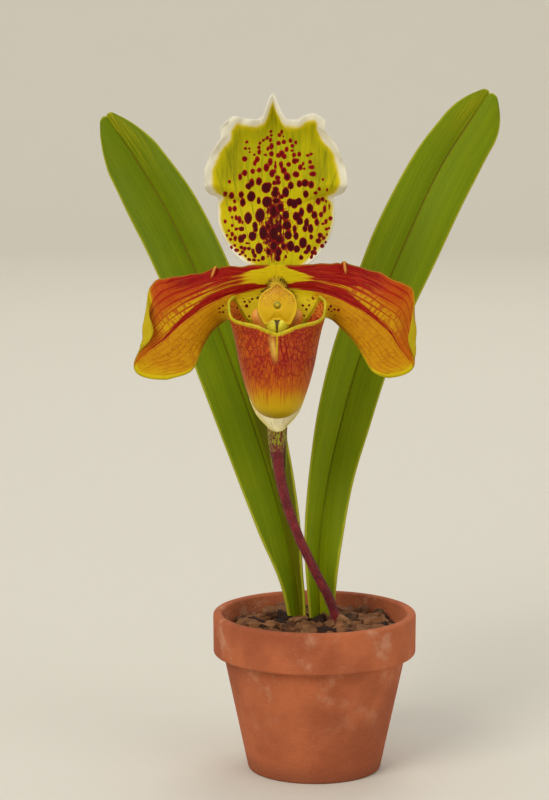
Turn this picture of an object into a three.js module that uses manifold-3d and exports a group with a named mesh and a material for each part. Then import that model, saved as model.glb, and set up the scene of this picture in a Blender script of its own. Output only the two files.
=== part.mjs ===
// A lady slipper orchid in bloom, growing in a plain clay pot.
// Units are millimetres and +Z is up. The flower faces -Y, and left means -X, as seen from the front.
// The origin is the middle of the pot's flat underside.

import * as THREE from "three";
import { mergeVertices } from "three/addons/utils/BufferGeometryUtils.js";
import Module from "manifold-3d";

const wasm = await Module();
wasm.setup();

// Driving sizes
const GAP = 0.3; // clearance left wherever two pieces meet
const POT = {
  height: 66,
  footRadius: 27.5,
  collarRadius: 42,
  collarHeight: 17,
  wall: 3.8,
  floor: 5,
  sides: 48,
  holes: 4,
  holeRadius: 3.5,
  holeRing: 15,
};
const BARK = { edgeHeight: 56.5, domeHeight: 60.5, chips: 42, seed: 11, detail: 0.04 };
const CROWN = { x: 2, y: 1, top: 49.7, halfLength: 15, halfWidth: 11, depth: 9 };
const ROOT = { count: 6, radius: 1.9 };
const STEM_FOOT = CROWN.top + GAP; // leaves and flower stem stand on the crown
const LEAF = { thickness: 1.5, edge: 0.8, tipShare: 0.11, notch: 1.6 };
const PETAL_THICKNESS = 0.95;
const SEPAL_THICKNESS = 0.9;
const POUCH_WALL = 1;
const FLOWER = { x: -15.6, z: 203.4 }; // where every part of the flower joins the ovary
const LAYER = { ovary: -19.2, sepal: -20.3, petal: -21.6, column: -22.6 }; // their places front to back

// Rows of the left leaf from foot to tip: x, y, z of the midrib, half widths left and right, fold in degrees
const LEFT_LEAF = [
  [-5.3, 6.6, CROWN.top - 1.5, 3.2, 2.3, 58],
  [-7.4, 8.9, 75.5, 6.2, 3.1, 52],
  [-12.9, 14.8, 99.5, 10.6, 7.4, 40],
  [-20.2, 22.5, 123.8, 13, 11.2, 30],
  [-28.7, 31, 148.5, 14.3, 14, 25],
  [-38, 39.5, 173.5, 15, 14.3, 22],
  [-48.5, 48, 199.5, 15.3, 14.5, 20],
  [-61.5, 59, 226, 15.4, 14, 18],
  [-75.5, 67.5, 248.5, 13.4, 11.8, 15],
  [-89.6, 72, 268.9, 11, 9.6, 12],
];
const RIGHT_LEAF = [
  [3, 6, CROWN.top - 1.5, 3.3, 4.2, 56],
  [2, 7.2, 75, 5.1, 6.9, 48],
  [2.6, 10.8, 96.5, 6.8, 9.2, 38],
  [6, 17, 120, 8.5, 10.4, 30],
  [11.7, 23.7, 143.5, 10.9, 12, 25],
  [18.9, 30.2, 167.5, 12.3, 12.8, 22],
  [27.8, 37, 190.8, 13.2, 13.8, 20],
  [38.8, 45, 215.8, 14.4, 15.1, 18],
  [53, 53.5, 245, 13, 15.4, 15],
  [65.4, 59, 264.4, 10.8, 14, 13],
  [75.6, 62, 279.1, 9.6, 14, 12],
];
// The flower stem's middle line, from the crown to the ovary
const STEM_LINE = [
  [10.3, -5.1, CROWN.top - 1.5],
  [9.3, -5.7, 61.5],
  [6, -6.8, 72.6],
  [0.4, -8.3, 84],
  [-6.2, -10.4, 98.3],
  [-11.3, -12.1, 112.4],
  [-14.2, -13.4, 124.5],
  [-15.4, -14, 134.5],
];
const STEM_RADIUS = [
  [0, 1.95],
  [0.55, 1.85],
  [0.8, 2],
  [1, 2.3],
]; // by the share of its length
const STEM_TOP = 133.2;
// The ovary's middle line and radius, from the stem to the flower
const OVARY_ROWS = [
  [-15.4, -14.2, 132.4, 2.4],
  [-15.5, -12.4, 144, 3.8],
  [-15.6, -10.4, 160, 4.1],
  [-15.6, -9.6, 176, 4],
  [-15.6, -10.2, 190, 3.7],
  [-15.6, -14, 199.8, 3.4],
  [-15.6, LAYER.ovary - 2, 203.6, 2.8],
];
// Rows of the bract from its foot to its point: height, radius round the stem, half wrap in degrees
const BRACT_ROWS = [
  [128, 3.1, 62],
  [136, 3.9, 58],
  [144, 4.9, 50],
  [152, 5.5, 40],
  [159, 6.4, 26],
  [165, 7.6, 7],
];
// Rows of a petal from its base to its end: upper edge, midrib and lower edge, each x, y, z
const LEFT_PETAL = [
  [-15.2, LAYER.petal, 212.2, -15.2, LAYER.petal, 203.4, -16.6, LAYER.petal, 194.2],
  [-27.1, -22.5, 211.7, -27.1, -24.5, 202.3, -26.8, -22.5, 189.5],
  [-38.6, -23, 211, -36.6, -28, 199.3, -35.1, -25, 190.2],
  [-50.4, -24.5, 207.9, -44.9, -31, 196, -41, -29, 186.2],
  [-60.8, -27.5, 207.2, -52.3, -34, 191.1, -44.5, -32, 181],
  [-66.3, -31, 202.9, -59, -36, 185.4, -46.4, -35, 176.6],
  [-65.9, -35, 194.4, -63.2, -37.4, 180, -48.7, -37, 171.9],
  [-64.3, -37.5, 186.4, -66.6, -38.2, 175.8, -52.3, -38.3, 169.8],
  [-70, -38.3, 179, -70.9, -38.8, 170.6, -59, -39, 168],
];
const RIGHT_PETAL = [
  [-16, LAYER.petal, 212.2, -16, LAYER.petal, 203.4, -14.6, LAYER.petal, 194.2],
  [-4.1, -22.5, 211.9, -4.1, -24.5, 202.5, -4, -22.5, 190.3],
  [7.4, -23, 212.9, 4.6, -28, 200.1, 4.7, -25, 191],
  [18.8, -24.5, 210.9, 13.3, -31, 196.4, 10.6, -29, 186.6],
  [29.8, -27.5, 207.1, 21.5, -34, 190.7, 14.9, -32, 182.2],
  [38.3, -31, 202.3, 28.5, -36, 184.6, 18.4, -35, 176.6],
  [37.5, -35, 192.8, 33, -37.4, 179.4, 21.3, -37, 171.8],
  [35.9, -37.5, 184, 35.4, -38.2, 175.4, 24.4, -38.3, 169.7],
  [38.4, -38.3, 176.6, 36.8, -38.8, 171.2, 28.1, -39, 168.7],
];
const PETAL_WAVE = { depth: 1.5, count: 3.5 }; // ripples of the upper edge
const PETAL_ROLL = { out: 1.9, forward: 3.2 }; // how far the outer edge curls
// Rows of the dorsal sepal from base to shoulders: share of its height, half widths left and right
const DORSAL_WIDTH = [
  [0, 10, 11],
  [0.06, 15.8, 16],
  [0.12, 18.7, 19],
  [0.2, 21.4, 21.8],
  [0.3, 23.2, 23.6],
  [0.4, 23.2, 23.8],
  [0.463, 23, 23.4],
  [0.5, 26.7, 27.2],
  [0.56, 28.1, 29],
  [0.64, 27.9, 28.8],
  [0.74, 26, 27],
  [0.83, 22.9, 25],
  [0.89, 20.8, 22.6],
  [0.94, 21, 20.4],
  [1, 18.1, 21],
];
// The dorsal sepal's top edge from left to right: place across, height
const DORSAL_TOP = [
  [-1, 268.8],
  [-0.85, 270.8],
  [-0.62, 269.9],
  [-0.37, 269.4],
  [-0.2, 271.5],
  [-0.12, 275.5],
  [-0.06, 278.4],
  [0, 279.5],
  [0.05, 278],
  [0.1, 275.5],
  [0.17, 272.2],
  [0.3, 269.4],
  [0.44, 269.4],
  [0.59, 271],
  [0.74, 271.9],
  [0.9, 270.7],
  [1, 268.9],
];
const DORSAL_FOOT = { middle: 204.6, rise: 6.6, lean: -1.6 };
// Rows of the synsepal from its base to its point: left edge, middle and right edge, each x, y, z
const SYNSEPAL = [
  [-18.4, -20.2, 202.5, -15.6, -20.2, 202.5, -12.8, -20.2, 202.5],
  [-24.8, -20.6, 191.6, -15.6, -19.4, 191.6, -6.4, -20.6, 191.6],
  [-27.6, -21.5, 177.6, -15.6, -18.8, 177.4, -3.6, -21.5, 177.6],
  [-27.6, -24, 163.7, -15.6, -20.5, 163.4, -3.6, -24, 163.7],
  [-24.4, -27, 153.6, -15.6, -24.5, 152.2, -6.8, -27, 153.6],
  [-18.6, -29, 147, -15.6, -29, 145.8, -12.6, -29, 147],
];
// Rows of the pouch from its toe up: height, half width, half depth, y of its middle
const POUCH_ROWS = [
  [153.5, 1.6, 1.2, -44.4],
  [154.3, 4.6, 3.4, -44.4],
  [156.9, 8.2, 6.8, -44.2],
  [161.4, 10.8, 9.7, -43.5],
  [167.5, 12.9, 11.7, -42.7],
  [175.2, 14.9, 13, -41.8],
  [182, 16.2, 13.7, -40.8],
  [189, 17.8, 14.1, -39.8],
  [193.8, 19.1, 14.2, -39.3],
  [198.5, 19.4, 14.2, -39.1],
  [201, 17.4, 14, -39],
];
// Rows of the pouch's mouth: degrees round from the front, height
const POUCH_MOUTH = [
  [0, 187.4],
  [8, 188.3],
  [30, 190.8],
  [60, 191.9],
  [80, 193.6],
  [92, 198.2],
  [105, 200.4],
  [118, 199.2],
  [130, 194.8],
  [142, 189.6],
  [156, 187.8],
  [166, 191],
  [174, 197.6],
  [180, 199],
];
const POUCH_CREASE = { depth: 1.3, degrees: 9, from: 176, to: 188 };
const STAMINODE = { x: -15.5, y: -42.2, z: 198, thickness: 1.1, dome: 1.3, boss: 0.8, bossRadius: 1.6 };
// The staminode's outline: degrees round from its top, radius
const STAMINODE_OUTLINE = [
  [0, 9.2],
  [12, 8.3],
  [24, 7.75],
  [53, 7.65],
  [90, 7.8],
  [116, 8.2],
  [135, 8.7],
  [147, 9.4],
  [154, 8.8],
  [160, 6.9],
  [168, 6.1],
  [180, 6.2],
];

// A steady curve through rows of [place, value, ...], with no overshoot between them, read at one place.
function steady(rows, place) {
  const last = rows.length - 1;
  const at = Math.min(Math.max(place, rows[0][0]), rows[last][0]);
  let i = 0;
  while (i < last - 1 && at > rows[i + 1][0]) i += 1;
  const step = rows[i + 1][0] - rows[i][0];
  const t = (at - rows[i][0]) / step;
  const slope = (k, c) => (rows[k + 1][c] - rows[k][c]) / (rows[k + 1][0] - rows[k][0]);
  const tangent = (k, c) => {
    if (k === 0) return slope(0, c);
    if (k === last) return slope(last - 1, c);
    const [before, after] = [slope(k - 1, c), slope(k, c)];
    return before * after <= 0 ? 0 : (2 * before * after) / (before + after);
  };
  return rows[i].slice(1).map((value, n) => {
    const c = n + 1;
    const other = rows[i + 1][c];
    const [m0, m1] = [tangent(i, c) * step, tangent(i + 1, c) * step];
    const rest = 2 * value - 2 * other + m0 + m1;
    return value + t * (m0 + t * (3 * (other - value) - 2 * m0 - m1 + t * rest));
  });
}

// A smooth curve in space through three columns of the given rows.
function curveThrough(rows, column = 0) {
  const points = rows.map((row) => new THREE.Vector3(row[column], row[column + 1], row[column + 2]));
  return new THREE.CatmullRomCurve3(points, false, "catmullrom", 0.5);
}

// Rows numbered evenly from 0 to 1, so that steady() can read their other columns.
function numbered(rows, column) {
  return rows.map((row, i) => [i / (rows.length - 1), ...row.slice(column)]);
}

function smoothstep(from, to, value) {
  return THREE.MathUtils.smoothstep(value, from, to);
}

function evenly(from, to, count) {
  return Array.from({ length: count + 1 }, (_, i) => from + ((to - from) * i) / count);
}

// A geometry from points and triangles, turned so that its faces point outwards.
function closedGeometry(points, triangles) {
  let volume = 0;
  for (const [a, b, c] of triangles) {
    volume += points[a].dot(new THREE.Vector3().crossVectors(points[b], points[c]));
  }
  const order = volume < 0 ? triangles.map(([a, b, c]) => [a, c, b]) : triangles;
  return new THREE.BufferGeometry().setFromPoints(points).setIndex(order.flat());
}

// A thin closed sheet: surface(u, v) is its middle, and thickness(u, v) is shared by its two faces.
// Both faces are cut into the same triangles.
function sheet(surface, us, vs, thickness) {
  const points = [];
  const step = 1e-3;
  for (const side of [0.5, -0.5]) {
    for (const v of vs) {
      for (const u of us) {
        const here = surface(u, v);
        const alongU = surface(u + step, v).sub(surface(u - step, v));
        const alongV = surface(u, Math.min(v + step, 1)).sub(surface(u, Math.max(v - step, 0)));
        const normal = alongU.cross(alongV).normalize();
        points.push(here.addScaledVector(normal, side * thickness(u, v)));
      }
    }
  }
  const across = us.length;
  const back = across * vs.length;
  const triangles = [];
  for (let j = 0; j + 1 < vs.length; j += 1) {
    for (let i = 0; i + 1 < across; i += 1) {
      const a = j * across + i;
      const [b, c, d] = [a + 1, a + across + 1, a + across];
      triangles.push([a, b, c], [a, c, d], [back + a, back + c, back + b], [back + a, back + d, back + c]);
    }
  }
  const rim = [];
  for (let i = 0; i < across - 1; i += 1) rim.push(i);
  for (let j = 0; j < vs.length - 1; j += 1) rim.push(j * across + across - 1);
  for (let i = across - 1; i > 0; i -= 1) rim.push((vs.length - 1) * across + i);
  for (let j = vs.length - 1; j > 0; j -= 1) rim.push(j * across);
  rim.forEach((p, k) => {
    const q = rim[(k + 1) % rim.length];
    triangles.push([p, back + p, q], [q, back + p, back + q]);
  });
  return closedGeometry(points, triangles);
}

// A closed skin over rings that all have the same number of points, with a cap at each end.
function loft(rings) {
  const sides = rings[0].length;
  const points = rings.flat();
  const middle = (ring) => ring.reduce((sum, p) => sum.add(p), new THREE.Vector3()).divideScalar(sides);
  points.push(middle(rings[0]), middle(rings[rings.length - 1]));
  const [first, last] = [points.length - 2, points.length - 1];
  const triangles = [];
  for (let k = 0; k < sides; k += 1) {
    const next = (k + 1) % sides;
    for (let j = 0; j + 1 < rings.length; j += 1) {
      const [a, b] = [j * sides + k, j * sides + next];
      triangles.push([a, b, b + sides], [a, b + sides, a + sides]);
    }
    const top = (rings.length - 1) * sides;
    triangles.push([first, next, k], [last, top + k, top + next]);
  }
  return closedGeometry(points, triangles);
}

// Rings square to a curve. radius(t, angle) may vary along it and round it.
function ringsAlong(curve, ts, sides, radius) {
  return ts.map((t) => {
    const middle = curve.getPoint(t);
    const forward = curve.getTangent(t);
    const side = new THREE.Vector3(1, 0, 0).addScaledVector(forward, -forward.x).normalize();
    const other = new THREE.Vector3().crossVectors(forward, side);
    return evenly(0, 2 * Math.PI, sides)
      .slice(0, sides)
      .map((angle) =>
        middle
          .clone()
          .addScaledVector(side, Math.cos(angle) * radius(t, angle))
          .addScaledVector(other, Math.sin(angle) * radius(t, angle)),
      );
  });
}

function tube(curve, steps, sides, radius) {
  return loft(ringsAlong(curve, evenly(0, 1, steps), sides, radius));
}

// Booleans, with manifold-3d
function solid(geometry) {
  const bare = geometry.clone().deleteAttribute("normal").deleteAttribute("uv");
  const merged = mergeVertices(bare, 1e-4);
  const triVerts = new Uint32Array(merged.index.array);
  return new wasm.Manifold(
    new wasm.Mesh({ numProp: 3, vertProperties: merged.attributes.position.array, triVerts }),
  );
}

function geometryOf(manifold) {
  const mesh = manifold.getMesh();
  const positions = new Float32Array(mesh.numVert * 3);
  for (let i = 0; i < mesh.numVert; i += 1) {
    positions.set(mesh.vertProperties.subarray(i * mesh.numProp, i * mesh.numProp + 3), i * 3);
  }
  return new THREE.BufferGeometry()
    .setAttribute("position", new THREE.BufferAttribute(positions, 3))
    .setIndex(new THREE.BufferAttribute(mesh.triVerts, 1));
}

// The largest body of a solid, so that a loose scrap of a cut is dropped.
function mainBody(manifold) {
  return manifold.decompose().reduce((best, body) => (body.volume() > best.volume() ? body : best));
}

// A round profile of [radius, height] pairs, spun about the Z axis.
function spun(profile, sides) {
  const points = profile.map(([radius, height]) => new THREE.Vector2(radius, height));
  return new THREE.LatheGeometry(points, sides).rotateX(Math.PI / 2);
}

// The clay pot
function insideRadius(height) {
  const top = POT.collarRadius - POT.wall;
  const foot = POT.footRadius - POT.wall + 0.6;
  return foot + ((top - foot) * (height - POT.floor)) / (POT.height - POT.floor);
}

function potGeometry() {
  const collarFoot = POT.height - POT.collarHeight;
  const underCollar = insideRadius(collarFoot) + POT.wall - 0.4;
  const body = solid(
    spun(
      [
        [0, 0],
        [POT.footRadius - 0.8, 0],
        [POT.footRadius, 0.9],
        [underCollar, collarFoot - 0.6],
        [POT.collarRadius - 0.9, collarFoot],
        [POT.collarRadius, collarFoot + 1.2],
        [POT.collarRadius, POT.height - 1.4],
        [POT.collarRadius - 1.2, POT.height],
        [insideRadius(POT.height) + 0.8, POT.height],
        [insideRadius(POT.height - 1), POT.height - 1],
        [insideRadius(POT.floor), POT.floor],
        [0, POT.floor],
      ],
      POT.sides,
    ),
  );
  return geometryOf(
    evenly(0, 2 * Math.PI, POT.holes)
      .slice(0, POT.holes)
      .reduce((rest, angle) => {
        const drill = new THREE.CylinderGeometry(POT.holeRadius, POT.holeRadius, 4 * POT.floor, 12);
        drill.rotateX(Math.PI / 2);
        drill.translate(POT.holeRing * Math.cos(angle), POT.holeRing * Math.sin(angle), 0);
        return rest.subtract(solid(drill));
      }, body),
  );
}

// A leaf or stem cut level at its foot, just clear of the crown.
function standsOnCrown(geometry) {
  return geometryOf(solid(geometry).trimByPlane([0, 0, 1], STEM_FOOT));
}

// The room that a leaf or stem needs in the bark: its foot, moved a gap's width to every side.
function roomFor(geometry) {
  const foot = solid(geometry).trimByPlane([0, 0, -1], -POT.height);
  return evenly(0, 2 * Math.PI, 6)
    .slice(0, 6)
    .map((angle) => foot.translate([GAP * Math.cos(angle), GAP * Math.sin(angle), -GAP / 2]))
    .reduce((room, moved) => room.add(moved), foot.translate([0, 0, -GAP]));
}

// Leaves: strap shaped, folded along the midrib, with a notched tip
function leafSurface(rows) {
  const midrib = curveThrough(rows);
  const widths = numbered(rows, 3);
  return (u, v) => {
    const middle = midrib.getPoint(v);
    const along = midrib.getTangent(v);
    const right = new THREE.Vector3(along.z, 0, -along.x).normalize();
    const front = new THREE.Vector3().crossVectors(along, right).normalize();
    if (front.y > 0) front.negate();
    const [left, wide, fold] = steady(widths, v);
    const intoTip = Math.max(0, (v - 1 + LEAF.tipShare) / LEAF.tipShare);
    const round = Math.sqrt(1 - 0.87 * Math.pow(intoTip, 1.6));
    const half = (u < 0 ? left : wide) * round;
    const out = Math.abs(u);
    const rise = half * (Math.tan(THREE.MathUtils.degToRad(fold)) * out + 0.1 * Math.sin(Math.PI * out));
    const notch = -LEAF.notch * intoTip * Math.exp(-Math.pow(u / 0.4, 2));
    return middle
      .addScaledVector(right, u * half)
      .addScaledVector(front, rise)
      .addScaledVector(along, notch);
  };
}

function leafGeometry(rows) {
  const ends = [1 - LEAF.tipShare, 0.93, 0.96, 0.98, 0.992, 1];
  const vs = [...evenly(0, 1 - LEAF.tipShare, 17).slice(0, -1), ...ends];
  const us = [-1, -0.7, -0.35, 0, 0.35, 0.7, 1];
  const thickness = (u) => THREE.MathUtils.lerp(LEAF.thickness, LEAF.edge, u * u);
  return standsOnCrown(sheet(leafSurface(rows), us, vs, thickness));
}

// The flower stem
function stemGeometry() {
  const whole = standsOnCrown(tube(curveThrough(STEM_LINE), 22, 10, (t) => steady(STEM_RADIUS, t)[0]));
  return geometryOf(solid(whole).trimByPlane([0, 0, -1], -STEM_TOP));
}

// The crown, a short creeping stem with thick roots, hidden in the bark
function rootLines(grow) {
  return evenly(0, 2 * Math.PI, ROOT.count)
    .slice(0, ROOT.count)
    .map((turn, k) => {
      const angle = turn + 0.35;
      const reach = 23 - 2.5 * (k % 3);
      const end = 11 + 3.5 * ((k * 2) % 3);
      const out = (share, z) => [
        CROWN.x + share * reach * Math.cos(angle),
        CROWN.y + share * reach * Math.sin(angle),
        z,
      ];
      const start = CROWN.top - CROWN.depth / 2 - 1;
      return [
        out(0.15, start),
        out(0.5, start - 1.5),
        out(0.88, start - 9),
        out(1 - 0.1 * (k % 2), start - 19),
        out(0.85 + 0.1 * (k % 2), end - grow),
      ];
    });
}

function crownSolid(grow = 0) {
  const middle = CROWN.top - CROWN.depth / 2;
  const rings = [-1, -0.8, -0.3, 0.3, 0.8, 1].map((level) => {
    const swell = Math.sqrt(1 - 0.36 * level * level);
    return evenly(0, 2 * Math.PI, 12)
      .slice(0, 12)
      .map(
        (angle) =>
          new THREE.Vector3(
            CROWN.x + (CROWN.halfLength * swell + grow) * Math.cos(angle),
            CROWN.y + (CROWN.halfWidth * swell + grow) * Math.sin(angle),
            middle + level * (CROWN.depth / 2 + grow),
          ),
      );
  });
  return rootLines(grow).reduce((whole, rows) => {
    const taper = (t) => ROOT.radius * (1 - 0.45 * t * t) + grow;
    const root = tube(curveThrough(rows), 7, 6, taper);
    return whole.add(solid(root));
  }, solid(loft(rings)));
}

// Orchid bark: a bed of chips that fills the pot up to a low dome
function seededRandom(seed) {
  let state = seed;
  return () => {
    state = (state * 1664525 + 1013904223) % 4294967296;
    return state / 4294967296;
  };
}

function barkHeight(distance) {
  const share = distance / insideRadius(BARK.edgeHeight);
  return BARK.domeHeight + (BARK.edgeHeight - BARK.domeHeight) * share * share;
}

// One chip: a slab with uneven corners, its grain along X.
function chip(random) {
  const [length, width, height] = [8 + 6 * random(), 5 + 3.5 * random(), 3.2 + 2 * random()];
  const slab = new THREE.BoxGeometry(length, width, height);
  const merged = mergeVertices(slab.deleteAttribute("normal").deleteAttribute("uv"));
  const position = merged.attributes.position;
  for (let i = 0; i < position.count; i += 1) {
    position.setXYZ(
      i,
      position.getX(i) * (0.75 + 0.4 * random()),
      position.getY(i) * (0.7 + 0.45 * random()),
      position.getZ(i) * (0.7 + 0.5 * random()),
    );
  }
  return merged;
}

function barkGeometry(standing) {
  const foot = POT.floor + GAP;
  const inner = (height) => insideRadius(height) - GAP - 0.1;
  const wall = [foot, 30, BARK.edgeHeight].map((height) => [inner(height), height]);
  const dome = [0.75, 0.4].map((share) => {
    const distance = share * inner(BARK.edgeHeight);
    return [distance, barkHeight(distance)];
  });
  const bed = spun([[0, foot], ...wall, ...dome, [0, BARK.domeHeight]], POT.sides);
  const random = seededRandom(BARK.seed);
  const spread = inner(BARK.edgeHeight) - 2.5;
  let heap = solid(bed);
  for (let k = 0; k < BARK.chips; k += 1) {
    const distance = spread * Math.sqrt((k + 0.5) / BARK.chips);
    const angle = k * 2.39996 + 0.5 * random();
    const turn = new THREE.Euler(0.7 * (random() - 0.5), 0.7 * (random() - 0.5), Math.PI * random(), "ZYX");
    const piece = chip(random).applyMatrix4(new THREE.Matrix4().makeRotationFromEuler(turn));
    const sink = barkHeight(distance) + 0.2 + 0.9 * random();
    piece.translate(distance * Math.cos(angle), distance * Math.sin(angle), sink);
    heap = heap.add(solid(piece));
  }
  const room = spun(
    [
      [0, foot],
      [inner(foot), foot],
      [inner(POT.height), POT.height],
      [0, POT.height],
    ],
    POT.sides,
  );
  const filled = standing.reduce((rest, piece) => rest.subtract(piece), heap.intersect(solid(room)));
  return geometryOf(mainBody(filled.simplify(BARK.detail)));
}

// The ovary, with six low ribs, and the bract that clasps its foot from behind
function ovaryGeometry() {
  const radii = numbered(OVARY_ROWS, 3);
  const ribbed = (t, angle) => steady(radii, t)[0] * (1 + 0.07 * Math.cos(6 * angle));
  const whole = solid(tube(curveThrough(OVARY_ROWS), 14, 18, ribbed));
  return geometryOf(whole.trimByPlane([0, 0, 1], STEM_TOP + GAP).trimByPlane([0, 1, 0], LAYER.ovary));
}

function bractGeometry() {
  const line = curveThrough([...STEM_LINE.slice(0, -1), ...OVARY_ROWS.slice(1, -1)]);
  const centreAt = (height) => {
    let [low, high] = [0, 1];
    for (let k = 0; k < 24; k += 1) {
      const half = (low + high) / 2;
      if (line.getPoint(half).z < height) low = half;
      else high = half;
    }
    return line.getPoint(low);
  };
  const rows = numbered(BRACT_ROWS, 0);
  const surface = (u, v) => {
    const [height, radius, wrap] = steady(rows, v);
    const centre = centreAt(height);
    const angle = THREE.MathUtils.degToRad(u * wrap);
    return new THREE.Vector3(
      centre.x + radius * Math.sin(angle),
      centre.y + radius * Math.cos(angle),
      height,
    );
  };
  return sheet(surface, evenly(-1, 1, 8), evenly(0, 1, 9), () => 0.7);
}

// A sheet whose rows name an edge, a middle and another edge, joined by a parabola.
function bowedSurface(rows) {
  const [first, middle, last] = [0, 3, 6].map((column) => curveThrough(rows, column));
  return (u, v) =>
    first
      .getPoint(v)
      .multiplyScalar((u * (u - 1)) / 2)
      .addScaledVector(middle.getPoint(v), 1 - u * u)
      .addScaledVector(last.getPoint(v), (u * (u + 1)) / 2);
}

// Petals: spoon shaped, drooping, with a rippled upper edge and the outer edge rolled forward
function petalSurface(rows) {
  const bowed = bowedSurface(rows);
  return (u, v) => {
    const point = bowed(u, v);
    const upper = smoothstep(0.2, 1, -u);
    const ripple = Math.sin(2 * Math.PI * PETAL_WAVE.count * v) * smoothstep(0.1, 0.3, v);
    point.y += PETAL_WAVE.depth * upper * ripple * (1 - smoothstep(0.75, 1, v));
    const rolled = smoothstep(0.62, 0.8, v) * (1 - smoothstep(0.94, 1, v));
    const curl = Math.max(0, -u - 0.5) / 0.5;
    point.x += Math.sign(point.x - FLOWER.x) * PETAL_ROLL.out * rolled * Math.sin(Math.PI * curl);
    point.y -= PETAL_ROLL.forward * rolled * curl * curl;
    return point;
  };
}

function petalGeometry(rows, side, column) {
  const us = [-1, -0.9, -0.77, -0.6, -0.36, -0.1, 0.25, 0.65, 1];
  const vs = evenly(0, 1, 20);
  const thickness = (u) => PETAL_THICKNESS - 0.25 * u * u;
  const whole = solid(sheet(petalSurface(rows), us, vs, thickness));
  const half = whole.trimByPlane([side, 0, 0], side * FLOWER.x + GAP / 2);
  return geometryOf(mainBody(half.subtract(column)));
}

// The dorsal sepal: upright and hooded, its lower sides turned back, its top edge scalloped round a beak
function dorsalSurface() {
  return (u, v) => {
    const [left, right] = steady(DORSAL_WIDTH, v);
    const out = Math.abs(u);
    const x = FLOWER.x + DORSAL_FOOT.lean * v + (u < 0 ? u * left : u * right);
    const foot = DORSAL_FOOT.middle + DORSAL_FOOT.rise * Math.pow(out, 1.2);
    const z = foot + (steady(DORSAL_TOP, u)[0] - foot) * v;
    const wing = smoothstep(0.44, 0.56, v);
    const lean = LAYER.sepal + 15 * v - 12.5 * v * v * v;
    const turned = 7.5 * Math.pow(out, 3) * (1 - wing) * smoothstep(0, 0.16, v);
    const cupped = -4.5 * out * out * wing;
    const ruffle = 1.1 * Math.sin(9 * v + 3 * u) * smoothstep(0.55, 1, out) * wing;
    const curl = -2.4 * smoothstep(0.84, 1, v) * (1 - smoothstep(0.7, 1, out));
    return new THREE.Vector3(x, lean + turned + cupped + ruffle + curl, z);
  };
}

function dorsalGeometry() {
  const us = DORSAL_TOP.map((row) => row[0]);
  const vs = [0, 0.04, 0.09, 0.16, 0.24, 0.33, 0.42, 0.463, 0.5, 0.56, 0.64, 0.73, 0.82, 0.88, 0.94, 1];
  return sheet(dorsalSurface(), us, vs, (u) => SEPAL_THICKNESS - 0.2 * u * u);
}

function synsepalGeometry() {
  return sheet(bowedSurface(SYNSEPAL), evenly(-1, 1, 8), evenly(0, 1, 14), () => SEPAL_THICKNESS);
}

// The pouch: an open slipper, low in front, with an ear at each side and a strap up the back
function pouchPoint(degrees, share, inset) {
  const mouth = steady(POUCH_MOUTH, Math.abs(degrees))[0];
  const toe = POUCH_ROWS[0][0] + inset;
  const z = toe + (mouth - toe) * share;
  const [width, depth, middle] = steady(POUCH_ROWS, z - inset * (1 - share));
  const angle = THREE.MathUtils.degToRad(degrees);
  const dent =
    POUCH_CREASE.depth *
    Math.exp(-Math.pow(degrees / POUCH_CREASE.degrees, 2)) *
    smoothstep(POUCH_CREASE.from, POUCH_CREASE.to, z);
  return new THREE.Vector3(
    FLOWER.x + Math.max(width - inset, 0.4) * Math.sin(angle),
    middle - Math.max(depth - inset, 0.4) * Math.cos(angle) + dent,
    z,
  );
}

function pouchGeometry() {
  const half = [0, 8, 18, 32, 48, 64, 78, 88, 97, 107, 118, 130, 142, 154, 165, 173, 180];
  const round = [...half.slice(1, -1).map((degrees) => -degrees).reverse(), ...half];
  const ring = (share, inset) => round.map((degrees) => pouchPoint(degrees, share, inset));
  const outer = [0, 0.03, 0.1, 0.2, 0.34, 0.5, 0.66, 0.83, 1].map((share) => ring(share, 0));
  const inner = [1, 0.83, 0.64, 0.44, 0.24, 0.08, 0].map((share) => ring(share, POUCH_WALL));
  return loft([...outer, ...inner]);
}

// The column, with an anther at each side and the stigma below
function ball(x, y, z, radii) {
  const sphere = new THREE.SphereGeometry(1, 10, 7);
  sphere.applyMatrix4(new THREE.Matrix4().makeScale(...radii));
  return solid(sphere.translate(FLOWER.x + x, y, FLOWER.z + z));
}

function columnSolid(grow = 0) {
  const rows = [
    [FLOWER.x, LAYER.column + grow, FLOWER.z],
    [FLOWER.x, -28, FLOWER.z - 0.3],
    [FLOWER.x, -34, FLOWER.z - 1.8],
    [FLOWER.x, STAMINODE.y + 1.6, FLOWER.z - 4],
  ];
  const stalk = (from, to, radius) => {
    const [start, end] = [from, to].map(([x, y, z]) => new THREE.Vector3(FLOWER.x + x, y, FLOWER.z + z));
    return solid(tube(new THREE.LineCurve3(start, end), 1, 8, () => radius + grow));
  };
  const trunk = solid(tube(curveThrough(rows), 6, 12, (t) => 3.9 - 0.9 * t + grow));
  return [
    stalk([-2, -32, -2], [-7.4, -36, -8.5], 1.5),
    ball(-7.6, -36.5, -9.8, [3.1, 3, 4.2]),
    stalk([2, -32, -2], [7.4, -36, -8.5], 1.5),
    ball(7.6, -36.5, -9.8, [3.1, 3, 4.2]),
    stalk([0, -34, -2.5], [0, -38.8, -12], 1.9),
    ball(0, -39.6, -13.2, [4.4, 2.2, 3.4]),
  ].reduce((whole, piece) => whole.add(piece), trunk);
}

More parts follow.
